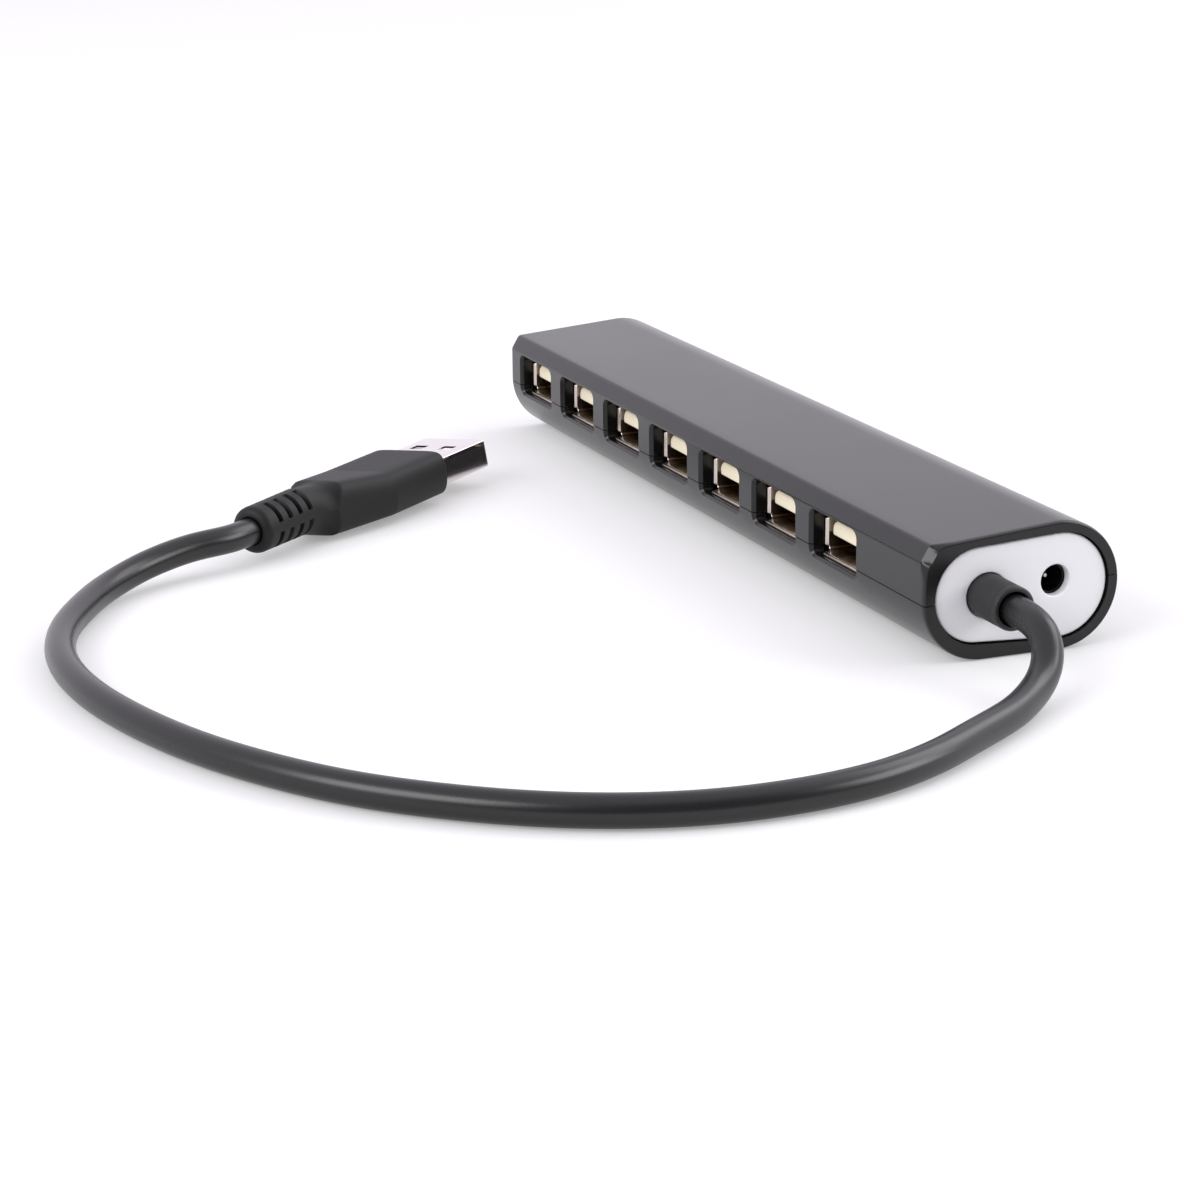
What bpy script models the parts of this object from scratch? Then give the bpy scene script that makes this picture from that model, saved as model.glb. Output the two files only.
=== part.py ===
# Seven-port USB hub: a slim two-part case with a white end plate, a fixed cable and its plug.
# Frame: the case lies along X with its cable end at +X, the ports face -Y, and it rests on z = 0.
import math

import bmesh
import bpy
from mathutils import Euler, Matrix, Vector
from mathutils.geometry import interpolate_bezier

mm = 0.001

# Case
case_length = 156.0 * mm
case_width = 29.6 * mm
case_height = 18.0 * mm
case_wall = 1.2 * mm
end_wall = 2.2 * mm
top_slope = math.radians(4.6)
front_round = 9.0 * mm
chamfer_run = 1.3 * mm
chamfer_drop = 2.2 * mm
near_end_bevel = 0.4 * mm
far_end_round = 0.8 * mm
seam_front = 8.4 * mm
seam_back = 9.8 * mm
seam_gap = 0.3 * mm
fit_gap = 0.3 * mm
seat_gap = 0.3 * mm

# Port windows and USB-A receptacles
port_count = 7
first_port_from_end = 12.0 * mm
last_port_from_end = 27.6 * mm
window_width = 14.3 * mm
window_height = 7.1 * mm
window_bottom = 6.65 * mm
window_corner = 1.2 * mm
port_wall = 2.0 * mm
mouth_width = 12.5 * mm
mouth_height = 5.12 * mm
mouth_corner = 0.5 * mm
shell_wall = 0.3 * mm
shell_depth = 14.0 * mm
shell_lip = 0.5 * mm
shell_lip_depth = 0.5 * mm
tongue_width = 11.1 * mm
tongue_thickness = 2.2 * mm
tongue_drop = 0.55 * mm
tongue_setback = 0.4 * mm
tongue_nose = 0.7 * mm
tongue_corner = 1.2 * mm
insulator_depth = 3.0 * mm
contact_width = 1.0 * mm
contact_height = 0.25 * mm
contact_setback = 1.6 * mm
contact_offsets = (-3.5 * mm, -1.0 * mm, 1.0 * mm, 3.5 * mm)

# White end plate
plate_recess = 0.35 * mm
plate_front_radius = 6.6 * mm
plate_back_radius = 7.3 * mm
plate_front_inset = 8.4 * mm
plate_back_inset = 9.05 * mm
plate_centre_height = 9.05 * mm
plate_flange = 1.2 * mm
plate_skin = 1.3 * mm

# DC jack
jack_inset = 9.6 * mm
jack_height = 9.8 * mm
jack_hole = 4.4 * mm
jack_bore = 3.9 * mm
jack_bore_depth = 9.0 * mm
jack_length = 11.0 * mm
jack_width = 6.4 * mm
jack_above_axis = 2.8 * mm
jack_pin_diameter = 1.3 * mm
jack_pin_length = 7.5 * mm
jack_pin_foot = 1.0 * mm
jack_pin_tip = 0.5 * mm
jack_spring_width = 1.3 * mm
jack_spring_thickness = 0.25 * mm
jack_spring_length = 6.5 * mm

# Main board and its parts
board_thickness = 1.6 * mm
board_end_gap = 1.5 * mm
board_setback = 0.5 * mm
post_diameter = 4.0 * mm
post_end_inset = 14.0 * mm
post_edge_inset = 4.5 * mm
chip_clearance = 1.1 * mm
chip_height = 1.4 * mm
chip_corner = 0.4 * mm
crystal_length = 10.5 * mm
crystal_width = 4.6 * mm
crystal_height = 3.4 * mm
crystal_round = 2.0 * mm
regulator_length = 6.5 * mm
regulator_width = 3.5 * mm
regulator_height = 1.7 * mm
capacitor_diameter = 5.0 * mm
capacitor_height = 5.4 * mm
part_spacing = 13.5 * mm

# Cable, its collar and its inner end
cable_diameter = 4.2 * mm
cable_height = 8.9 * mm
cable_inset = 9.66 * mm
collar_diameter = 6.1 * mm
collar_reach = 7.0 * mm
collar_rim = 0.5 * mm
collar_bore_gap = 0.25 * mm
collar_bore_depth = 3.0 * mm
collar_flange_diameter = 8.0 * mm
collar_flange = 1.6 * mm
tail_length = 4.0 * mm
wire_diameter = 0.8 * mm
wire_spread = 1.3 * mm
wire_reach = 7.0 * mm
wire_start_spread = 1.0 * mm
cable_point_step = 8.4 * mm

# Plug at the free end of the cable, in its own frame with the mouth along +X
plug_from_end = 113.65 * mm
plug_from_front = 33.25 * mm
plug_height = 4.57 * mm
plug_turn = Euler((math.radians(-5.0), math.radians(-1.0), math.radians(128.8)), 'XYZ')
plug_shell_width = 12.0 * mm
plug_shell_height = 4.5 * mm
plug_shell_corner = 0.5 * mm
plug_shell_reach = 13.7 * mm
plug_shell_wall = 0.3 * mm
plug_shell_seat = 4.0 * mm
plug_hole_side = 2.4 * mm
plug_hole_spread = 5.6 * mm
plug_hole_setback = 6.4 * mm
plug_insulator_thickness = 1.84 * mm
boot_width = 14.6 * mm
boot_height = 7.2 * mm
boot_chamfer = 1.3 * mm
boot_front_bevel = 0.45 * mm
boot_straight = 15.0 * mm
boot_taper = 14.1 * mm
boot_lift = 1.2 * mm
boot_neck_width = 11.0 * mm
boot_neck_height = 7.2 * mm
shoulder_length = 3.0 * mm
relief_length = 12.7 * mm
relief_diameter = 7.4 * mm
relief_end_diameter = 7.2 * mm
relief_end_round = 1.0 * mm
relief_bore_depth = 1.6 * mm
slot_count = 4
slot_pitch = 2.55 * mm
slot_width = 0.95 * mm
slot_depth = 1.2 * mm
slot_first = 4.0 * mm
slot_half_span = 2.1 * mm

# Cable route after the collar, chosen by eye along the photographed loop, ending before the plug:
# mm from the near end of the case, from its front face and above the table
route_hints = [
    (13.0, 9.8, 8.5), (16.0, 9.5, 7.1), (17.6, 8.9, 5.5), (18.9, 7.7, 4.1), (20.9, 5.5, 3.0),
    (23.8, 2.2, 2.4), (27.4, -2.1, 2.2), (32.8, -10.2, 2.2), (38.2, -18.7, 2.2), (42.3, -28.7, 2.2),
    (43.9, -40.2, 2.2), (42.8, -52.2, 2.2), (38.3, -64.4, 2.2), (30.4, -76.2, 2.2), (19.5, -87.1, 2.2),
    (4.5, -96.4, 2.2), (-11.0, -102.4, 2.2), (-27.0, -105.8, 2.2), (-42.0, -106.0, 2.2),
    (-55.5, -102.8, 2.2), (-68.0, -96.4, 2.3), (-74.3, -91.6, 2.6), (-78.4, -86.5, 3.4),
    (-80.6, -81.6, 4.2), (-82.2, -76.5, 4.8),
]


def clear_scene():
    for item in list(bpy.data.objects):
        bpy.data.objects.remove(item, do_unlink=True)


def material(name, colour, roughness, metallic=0.0):
    made = bpy.data.materials.new(name)
    made.use_nodes = True
    shader = made.node_tree.nodes['Principled BSDF']
    shader.inputs['Base Color'].default_value = (*colour, 1.0)
    shader.inputs['Roughness'].default_value = roughness
    shader.inputs['Metallic'].default_value = metallic
    made.diffuse_color = (*colour, 1.0)
    return made


def finish_mesh(name, work, look):
    bmesh.ops.recalc_face_normals(work, faces=work.faces)
    mesh = bpy.data.meshes.new(name)
    work.to_mesh(mesh)
    work.free()
    made = bpy.data.objects.new(name, mesh)
    bpy.context.collection.objects.link(made)
    if look is None:
        made.hide_render = True
        made.display_type = 'WIRE'
    else:
        mesh.materials.append(look)
    return made


def add_loft(work, rings):
    # Closed solid through rings of equal point counts, capped at both ends
    loops = [[work.verts.new(point) for point in ring] for ring in rings]
    count = len(loops[0])
    for first, second in zip(loops, loops[1:]):
        for i in range(count):
            j = (i + 1) % count
            work.faces.new((first[i], first[j], second[j], second[i]))
    work.faces.new(list(reversed(loops[0])))
    work.faces.new(loops[-1])


def loft(name, rings, look=None):
    work = bmesh.new()
    add_loft(work, rings)
    return finish_mesh(name, work, look)


def add_tunnel(work, outer_rings, inner_rings):
    # Open tube: an outer skin and an inner skin of equal counts, joined at both mouths
    outer = [[work.verts.new(point) for point in ring] for ring in outer_rings]
    inner = [[work.verts.new(point) for point in ring] for ring in inner_rings]
    count = len(outer[0])
    for rings in (outer, inner):
        for first, second in zip(rings, rings[1:]):
            for i in range(count):
                j = (i + 1) % count
                work.faces.new((first[i], first[j], second[j], second[i]))
    for side in (0, -1):
        for i in range(count):
            j = (i + 1) % count
            work.faces.new((outer[side][i], outer[side][j], inner[side][j], inner[side][i]))


def arc(centre, radius, start, end, steps):
    points = []
    for i in range(steps + 1):
        angle = start + (end - start) * i / steps
        points.append((centre[0] + radius * math.cos(angle), centre[1] + radius * math.sin(angle)))
    return points


def rounded_rectangle(width, height, corner, steps=3):
    points = []
    half_width = width / 2 - corner
    half_height = height / 2 - corner
    for quarter, (u, v) in enumerate(((1, -1), (1, 1), (-1, 1), (-1, -1))):
        start = (quarter - 1) * math.pi / 2
        points += arc((u * half_width, v * half_height), corner, start, start + math.pi / 2, steps)
    return points


square = ((-1, -1), (1, -1), (1, 1), (-1, 1))


def along_x(outline, x):
    return [(x, y, z) for y, z in outline]


def along_y(outline, y, centre):
    return [(centre[0] + u, y, centre[1] + v) for u, v in outline]


def lathe_x(name, profile, centre, look, steps=24):
    # Revolve (x, radius) pairs about the X direction through centre
    rings = []
    for x, radius in profile:
        rings.append(along_x(arc(centre, radius, 0, math.tau, steps)[:-1], x))
    return loft(name, rings, look)


def block(name, low, high, look=None, corner=0.0):
    width = high[0] - low[0]
    depth = high[1] - low[1]
    if corner:
        outline = rounded_rectangle(width, depth, corner, 2)
    else:
        outline = [(u * width / 2, v * depth / 2) for u, v in square]
    middle = ((low[0] + high[0]) / 2, (low[1] + high[1]) / 2)
    rings = [[(middle[0] + u, middle[1] + v, z) for u, v in outline] for z in (low[2], high[2])]
    return loft(name, rings, look)


def combine(target, operation, tool):
    step = target.modifiers.new(operation.lower() + '_' + tool.name, 'BOOLEAN')
    step.operation = operation
    step.solver = 'EXACT'
    step.object = tool


def tube(name, points, diameter, look):
    curve = bpy.data.curves.new(name, 'CURVE')
    curve.dimensions = '3D'
    curve.bevel_depth = diameter / 2
    curve.bevel_resolution = 3
    curve.use_fill_caps = True
    spline = curve.splines.new('POLY')
    spline.points.add(len(points) - 1)
    for knot, point in zip(spline.points, points):
        knot.co = (*point, 1.0)
    curve.materials.append(look)
    made = bpy.data.objects.new(name, curve)
    bpy.context.collection.objects.link(made)
    return made


# Section of the case

front_face = -case_width / 2
back_face = case_width / 2
near_end = case_length / 2
far_end = -case_length / 2
back_round = case_height / 2
back_centre = (back_face - back_round, back_round)
front_centre = (front_face + front_round, front_round)


def top_height(y, inset=0.0):
    # The top plane leans: it is tangent to the back round and falls toward the ports
    touch_y = back_centre[0] - back_round * math.sin(top_slope)
    touch_z = back_centre[1] + back_round * math.cos(top_slope)
    return touch_z + (y - touch_y) * math.tan(top_slope) - inset / math.cos(top_slope)


def crossing(first, second):
    # Meeting point of two lines, each given as a point and a direction
    (p, d), (q, e) = first, second
    span = d[0] * e[1] - d[1] * e[0]
    step = ((q[0] - p[0]) * e[1] - (q[1] - p[1]) * e[0]) / span
    return (p[0] + d[0] * step, p[1] + d[1] * step)


chamfer_top = (front_face + chamfer_run, top_height(front_face + chamfer_run))
chamfer_foot = (front_face, chamfer_top[1] - chamfer_drop)


def section(inset):
    # Outline in (y, z): bottom flat, round back, leaning top, chamfer, front and its round foot
    slant = (chamfer_top[0] - chamfer_foot[0], chamfer_top[1] - chamfer_foot[1])
    size = math.hypot(*slant)
    inward = (slant[1] / size, -slant[0] / size)
    slant_start = (chamfer_foot[0] + inward[0] * inset, chamfer_foot[1] + inward[1] * inset)
    slant_line = (slant_start, slant)
    top_line = ((0.0, top_height(0.0, inset)), (1.0, math.tan(top_slope)))
    front_line = ((front_face + inset, 0.0), (0.0, 1.0))
    points = arc(back_centre, back_round - inset, -math.pi / 2, 0.0, 8)
    points += arc(back_centre, back_round - inset, 0.0, math.pi / 2 + top_slope, 8)[1:]
    points.append(crossing(top_line, slant_line))
    points.append(crossing(slant_line, front_line))
    points += arc(front_centre, front_round - inset, math.pi, 1.5 * math.pi, 10)
    return points


def back_inside(z):
    # Inner face of the round back at a height
    radius = back_round - case_wall
    return back_centre[0] + math.sqrt(max(0.0, radius ** 2 - (z - back_round) ** 2))


def seam_height(y):
    share = (y - front_face) / case_width
    return seam_front + (seam_back - seam_front) * share


def case_solid(name, look):
    rings = []
    round_steps = 4
    for i in range(round_steps + 1):
        angle = math.pi / 2 * i / round_steps
        x = far_end + far_end_round * (1 - math.sin(angle))
        rings.append(along_x(section(far_end_round * (1 - math.cos(angle))), x))
    rings.reverse()
    rings.append(along_x(section(0.0), near_end - near_end_bevel))
    rings.append(along_x(section(near_end_bevel), near_end))
    return loft(name, rings, look)


def seam_cutter(name, above, offset):
    reach = case_width
    far_z = case_height * 3 if above else -case_height * 2
    low = seam_height(-reach) + offset
    high = seam_height(reach) + offset
    outline = [(-reach, low), (reach, high), (reach, far_z), (-reach, far_z)]
    return loft(name, [along_x(outline, x) for x in (-case_length, case_length)])


# End plate outline: two circles of unlike size joined by tangents

plate_front_centre = (front_face + plate_front_inset, plate_centre_height)
plate_back_centre = (back_face - plate_back_inset, plate_centre_height)


def plate_outline(grow):
    spread = plate_back_centre[0] - plate_front_centre[0]
    lean = math.asin((plate_back_radius - plate_front_radius) / spread)
    touch = math.pi / 2 + lean
    points = arc(plate_back_centre, plate_back_radius + grow, -touch, touch, 16)
    points += arc(plate_front_centre, plate_front_radius + grow, touch, math.tau - touch, 16)
    return points


cavity_near = near_end - end_wall
flange_front = cavity_near - fit_gap
flange_back = flange_front - plate_flange
cable_axis = (front_face + cable_inset, cable_height)
jack_axis = (back_face - jack_inset, jack_height)

# Heights that follow from the windows: receptacle on the board, board on its posts

window_centre = window_bottom + window_height / 2
shell_bottom = window_centre - mouth_height / 2 - shell_wall
board_top = shell_bottom - seat_gap
board_bottom = board_top - board_thickness
mouth_plane = front_face + port_wall
shell_front = mouth_plane + seat_gap
shell_back = mouth_plane + shell_depth
board_front = shell_front + shell_lip_depth + board_setback
board_back = back_inside(board_bottom) - fit_gap
board_far = far_end + end_wall + board_end_gap
board_near = flange_back - fit_gap
port_pitch = (case_length - first_port_from_end - last_port_from_end) / (port_count - 1)

# Cable end of the case: collar through the plate, jacket end behind it

collar_end = near_end + collar_reach
collar_back = flange_back - fit_gap - collar_flange
bore_floor = collar_end - collar_bore_depth
tail_start = collar_back - fit_gap
tail_end = tail_start - tail_length


def port_x(number):
    return near_end - last_port_from_end - (port_count - number) * port_pitch


def window_cutter():
    work = bmesh.new()
    outline = rounded_rectangle(window_width, window_height, window_corner, 4)
    for number in range(1, port_count + 1):
        centre = (port_x(number), window_centre)
        add_loft(work, [along_y(outline, y, centre) for y in (front_face - case_wall, shell_front)])
    return finish_mesh('window_cutter', work, None)


def build_case(black):
    cavity_ends = (far_end + end_wall, cavity_near)
    cavity = loft('case_cavity', [along_x(section(case_wall), x) for x in cavity_ends])
    port_wall_end = flange_back - 2 * fit_gap
    thick_wall = block('port_wall', (far_end, front_face - case_wall, 0.0),
                       (port_wall_end, mouth_plane, case_height))
    combine(cavity, 'DIFFERENCE', thick_wall)
    opening_ends = (flange_back, near_end + end_wall)
    opening = loft('plate_opening', [along_x(plate_outline(fit_gap), x) for x in opening_ends])
    windows = window_cutter()
    below = seam_cutter('below_seam', False, seam_gap / 2)
    above = seam_cutter('above_seam', True, -seam_gap / 2)
    top = case_solid('top_cover', black)
    bottom = case_solid('bottom_case', black)
    for half, other_side in ((top, below), (bottom, above)):
        combine(half, 'DIFFERENCE', cavity)
        combine(half, 'DIFFERENCE', other_side)
        combine(half, 'DIFFERENCE', windows)
        combine(half, 'DIFFERENCE', opening)
    combine(bottom, 'UNION', board_posts())


def build_plate(white):
    disc_ends = (flange_front - plate_flange / 2, near_end - plate_recess)
    plate = loft('end_plate', [along_x(plate_outline(0.0), x) for x in disc_ends], white)
    flange_outline = section(case_wall + fit_gap)
    flange = loft('plate_flange', [along_x(flange_outline, x) for x in (flange_back, flange_front)])
    combine(plate, 'UNION', flange)
    hole_start = flange_back - plate_flange
    holes = bmesh.new()
    for axis, diameter in ((cable_axis, collar_diameter + 2 * fit_gap), (jack_axis, jack_hole)):
        ring = arc(axis, diameter / 2, 0, math.tau, 32)[:-1]
        add_loft(holes, [along_x(ring, x) for x in (hole_start, near_end + end_wall)])
    combine(plate, 'DIFFERENCE', finish_mesh('plate_holes', holes, None))
    low, high = jack_box(fit_gap)
    pocket = block('jack_pocket', (hole_start, *low[1:]), high)
    combine(plate, 'DIFFERENCE', pocket)


def board_posts():
    work = bmesh.new()
    top = board_bottom - seat_gap
    for x in (board_far + post_end_inset, board_near - post_end_inset):
        for y in (board_front + post_edge_inset, board_back - post_edge_inset):
            ring = arc((x, y), post_diameter / 2, 0, math.tau, 16)[:-1]
            add_loft(work, [[(u, v, z) for u, v in ring] for z in (case_wall / 2, top)])
    return finish_mesh('board_posts', work, None)


def build_port(number, metal, cream):
    centre = (port_x(number), window_centre)
    skins = []
    for wall in (shell_wall, 0.0):
        rings = []
        for y, lip in ((shell_front, shell_lip), (shell_front + shell_lip_depth, 0.0), (shell_back, 0.0)):
            grow = wall + lip
            width = mouth_width + 2 * grow
            height = mouth_height + 2 * grow
            rings.append(along_y(rounded_rectangle(width, height, mouth_corner + grow), y, centre))
        skins.append(rings)
    work = bmesh.new()
    add_tunnel(work, *skins)
    finish_mesh(f'usb_port_shell_{number}', work, metal)

    tongue_top = centre[1] + mouth_height / 2 - tongue_drop
    tongue_bottom = tongue_top - tongue_thickness
    nose = shell_front + tongue_setback
    heel_front = shell_back - insulator_depth
    root = heel_front + seat_gap
    rings = []
    for z, cut in ((tongue_bottom, 0.0), (tongue_top - tongue_corner, 0.0), (tongue_top, tongue_corner)):
        half = tongue_width / 2 - cut
        outline = [(-half, root), (-half, nose + tongue_nose), (-half + tongue_nose, nose),
                   (half - tongue_nose, nose), (half, nose + tongue_nose), (half, root)]
        rings.append([(centre[0] + u, v, z) for u, v in outline])
    tongue = loft(f'usb_port_tongue_{number}', rings, cream)
    half_width = mouth_width / 2 - fit_gap
    half_height = mouth_height / 2 - fit_gap
    heel = block(f'insulator_heel_{number}', (centre[0] - half_width, heel_front, centre[1] - half_height),
                 (centre[0] + half_width, shell_back, centre[1] + half_height))
    combine(tongue, 'UNION', heel)
    strips = bmesh.new()
    for offset in contact_offsets:
        x = centre[0] + offset
        ring = [(x + u * contact_width / 2, tongue_bottom + v * contact_height) for u, v in square]
        add_loft(strips, [[(u, y, z) for u, z in ring] for y in (nose + contact_setback, root)])
    combine(tongue, 'UNION', finish_mesh(f'contact_strips_{number}', strips, None))


def jack_box(grow):
    # Box of the jack body: it stands on the board and reaches into a pocket of the end plate
    front = near_end - plate_recess - plate_skin - fit_gap
    half = jack_width / 2
    low = (front - jack_length - grow, jack_axis[0] - half - grow, board_top + seat_gap - grow)
    high = (front + grow, jack_axis[0] + half + grow, jack_axis[1] + jack_above_axis + grow)
    return low, high


def build_jack(black, metal):
    low, high = jack_box(0.0)
    body = block('dc_jack_body', low, high, black)
    front = high[0]
    bore_end = front - jack_bore_depth
    bore_profile = [(bore_end, jack_bore / 2), (front + fit_gap, jack_bore / 2)]
    combine(body, 'DIFFERENCE', lathe_x('jack_bore', bore_profile, jack_axis, None))
    foot = bore_end + seat_gap
    radius = jack_pin_diameter / 2
    tip = foot + jack_pin_length
    foot_radius = jack_bore / 2 - fit_gap
    profile = [(foot, foot_radius), (foot + jack_pin_foot, foot_radius), (foot + jack_pin_foot, radius),
               (tip - radius, radius), (tip, jack_pin_tip / 2)]
    lathe_x('dc_jack_pin', profile, jack_axis, metal, 16)
    spring_z = jack_axis[1] + foot_radius - jack_spring_thickness
    start = foot + jack_pin_foot + seat_gap
    middle = start + jack_spring_length / 2
    half = jack_spring_width / 2
    rings = []
    for x, drop in ((start, 0.0), (middle, fit_gap), (start + jack_spring_length, 0.0)):
        z = spring_z - drop
        top = z + jack_spring_thickness
        y = jack_axis[0]
        rings.append([(x, y - half, z), (x, y + half, z), (x, y + half, top), (x, y - half, top)])
    loft('dc_jack_spring', rings, metal)


def build_board(green, dark, metal, sleeve):
    board = block('main_board', (board_far, board_front, board_bottom),
                  (board_near, board_back, board_top), green)
    notch_side = cable_axis[0] + collar_flange_diameter / 2 + fit_gap
    notch_end = tail_end - fit_gap
    notch = block('cable_notch', (notch_end, front_face, 0.0), (near_end, notch_side, case_height))
    combine(board, 'DIFFERENCE', notch)
    base = board_top + seat_gap
    row = (shell_back + board_back) / 2
    chip_side = board_back - shell_back - 2 * chip_clearance
    middle = (board_far + board_near) / 2

    def on_board(name, place, length, width, height, look, corner):
        x = middle + place * part_spacing
        low = (x - length / 2, row - width / 2, base)
        block(name, low, (x + length / 2, row + width / 2, base + height), look, corner)

    on_board('hub_controller', 0, chip_side, chip_side, chip_height, dark, chip_corner)
    on_board('crystal', 1, crystal_length, crystal_width, crystal_height, metal, crystal_round)
    on_board('voltage_regulator', 2, regulator_length, regulator_width, regulator_height, dark, chip_corner)
    for number, place in ((1, -1), (2, 3)):
        centre = (middle + place * part_spacing, row)
        ring = arc(centre, capacitor_diameter / 2, 0, math.tau, 20)[:-1]
        rings = [[(u, v, z) for u, v in ring] for z in (base, base + capacitor_height)]
        loft(f'capacitor_{number}', rings, sleeve)


def build_collar(rubber):
    radius = collar_diameter / 2
    bore = cable_diameter / 2 + collar_bore_gap
    flange_radius = collar_flange_diameter / 2
    flange_end = collar_back + collar_flange
    profile = [
        (collar_back, flange_radius), (flange_end, flange_radius), (flange_end, radius),
        (collar_end - collar_rim, radius), (collar_end, radius - collar_rim / 2), (collar_end, bore),
        (bore_floor, bore),
    ]
    lathe_x('cable_collar', profile, cable_axis, rubber, 32)


def build_tail(rubber, wire_looks):
    axis_y, axis_z = cable_axis
    tube('cable_tail', [(tail_start, axis_y, axis_z), (tail_end, axis_y, axis_z)], cable_diameter, rubber)
    pad_z = board_top + seat_gap + wire_diameter / 2
    near = tail_end - fit_gap
    steps = 8
    for i, (name, look) in enumerate(wire_looks):
        place = i - (len(wire_looks) - 1) / 2
        points = []
        for j in range(steps + 1):
            share = j / steps
            ease = share * share * (3 - 2 * share)
            spread = wire_start_spread + (wire_spread - wire_start_spread) * ease
            z = axis_z + (pad_z - axis_z) * ease
            points.append((near - wire_reach * share, axis_y + place * spread, z))
        tube(name, points, wire_diameter, look)


def plug_matrix():
    place = Vector((near_end - plug_from_end, front_face - plug_from_front, plug_height))
    return Matrix.Translation(place) @ plug_turn.to_matrix().to_4x4()


boot_back = -boot_straight - boot_taper
relief_front = boot_back - shoulder_length
relief_end = relief_front - relief_length


def eight_sides(x, width, height, lift=0.0):
    # Chamfered block section of the boot, in 24 points so that it blends into the round relief
    half_width = width / 2
    half_height = height / 2
    corners = []
    for u, v in ((1, -1), (1, 1), (-1, 1), (-1, -1)):
        first = (u * half_width, v * (half_height - boot_chamfer))
        second = (u * (half_width - boot_chamfer), v * half_height)
        corners += [first, second] if u * v > 0 else [second, first]
    points = []
    side_steps = 3
    for a, b in zip(corners, corners[1:] + corners[:1]):
        for step in range(side_steps):
            share = step / side_steps
            points.append((x, a[0] + (b[0] - a[0]) * share, a[1] + (b[1] - a[1]) * share + lift))
    return points


def round_sides(x, radius, shape):
    # Circle read at the same bearings as a boot section, so that the loft does not twist
    points = []
    for _, y, z in shape:
        size = math.hypot(y, z - boot_lift)
        points.append((x, y / size * radius, boot_lift + (z - boot_lift) / size * radius))
    return points


def blend(first, second, share, x):
    return [(x, a[1] + (b[1] - a[1]) * share, a[2] + (b[2] - a[2]) * share) for a, b in zip(first, second)]


def build_boot(rubber):
    bevel = 2 * boot_front_bevel
    front = eight_sides(0.0, boot_width - bevel, boot_height - bevel)
    straight = eight_sides(-boot_front_bevel, boot_width, boot_height)
    crease = eight_sides(-boot_straight, boot_width, boot_height)
    neck = eight_sides(boot_back, boot_neck_width, boot_neck_height, boot_lift)
    throat = round_sides(relief_front, relief_diameter / 2, neck)
    rings = [front, straight, crease, neck]
    shoulder_steps = 4
    for step in range(1, shoulder_steps):
        share = step / shoulder_steps
        x = boot_back - shoulder_length * share
        rings.append(blend(neck, throat, math.sin(math.pi / 2 * share), x))
    rings.append(throat)
    round_steps = 3
    for step in range(round_steps + 1):
        angle = math.pi / 2 * step / round_steps
        x = relief_end + relief_end_round * (1 - math.sin(angle))
        radius = relief_end_diameter / 2 - relief_end_round * (1 - math.cos(angle))
        rings.append(round_sides(x, radius, neck))
    boot = loft('plug_overmould', rings, rubber)
    seat = rounded_rectangle(plug_shell_width + 2 * fit_gap, plug_shell_height + 2 * fit_gap,
                             plug_shell_corner + fit_gap)
    socket = loft('shell_socket', [along_x(seat, x) for x in (-plug_shell_seat - fit_gap, boot_chamfer)])
    entry_radius = cable_diameter / 2 + collar_bore_gap
    entry_profile = [(relief_end + side * relief_bore_depth, entry_radius) for side in (-1, 1)]
    entry = lathe_x('cable_entry', entry_profile, (0.0, boot_lift), None, 20)
    radius = relief_diameter / 2
    slot_floor = radius - slot_depth
    slots = bmesh.new()
    for quarter in range(4):
        turn = Matrix.Rotation(math.pi / 4 + quarter * math.pi / 2, 4, 'X')
        place = Matrix.Translation((0.0, 0.0, boot_lift)) @ turn
        for i in range(slot_count):
            x = relief_end + slot_first + i * slot_pitch
            corners = [(slot_floor, -slot_half_span), (2 * radius, -slot_half_span),
                       (2 * radius, slot_half_span), (slot_floor, slot_half_span)]
            ends = (x - slot_width / 2, x + slot_width / 2)
            add_loft(slots, [[place @ Vector((end, u, v)) for u, v in corners] for end in ends])
    slot_cutter = finish_mesh('relief_slots', slots, None)
    for tool in (socket, entry, slot_cutter):
        tool.matrix_world = plug_matrix()
        combine(boot, 'DIFFERENCE', tool)
    boot.matrix_world = plug_matrix()


def build_plug_end(metal, cream):
    place = plug_matrix()
    ends = (-plug_shell_seat, plug_shell_reach)
    skins = []
    for inset in (0.0, plug_shell_wall):
        outline = rounded_rectangle(plug_shell_width - 2 * inset, plug_shell_height - 2 * inset,
                                    plug_shell_corner - inset)
        skins.append([along_x(outline, x) for x in ends])
    work = bmesh.new()
    add_tunnel(work, *skins)
    shell = finish_mesh('plug_shell', work, metal)
    holes = bmesh.new()
    hole_x = plug_shell_reach - plug_hole_setback
    for y in (-plug_hole_spread / 2, plug_hole_spread / 2):
        ring = [(hole_x + u * plug_hole_side / 2, y + v * plug_hole_side / 2) for u, v in square]
        add_loft(holes, [[(u, v, z) for u, v in ring] for z in (-plug_shell_height, plug_shell_height)])
    hole_cutter = finish_mesh('shell_holes', holes, None)
    hole_cutter.matrix_world = place
    shell.matrix_world = place
    combine(shell, 'DIFFERENCE', hole_cutter)

    half_width = plug_shell_width / 2 - plug_shell_wall - fit_gap
    floor = -plug_shell_height / 2 + plug_shell_wall + fit_gap
    top = floor + plug_insulator_thickness
    insulator = block('plug_insulator', (-plug_shell_seat, -half_width, floor),
                      (plug_shell_reach - fit_gap, half_width, top), cream)
    strips = bmesh.new()
    strip_ends = (-plug_shell_seat / 2, plug_shell_reach - contact_setback)
    for offset in contact_offsets:
        ring = [(offset + u * contact_width / 2, top + v * contact_height) for u, v in square]
        add_loft(strips, [along_x(ring, x) for x in strip_ends])
    strip_body = finish_mesh('plug_contact_strips', strips, None)
    strip_body.matrix_world = place
    insulator.matrix_world = place
    combine(insulator, 'UNION', strip_body)


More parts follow.
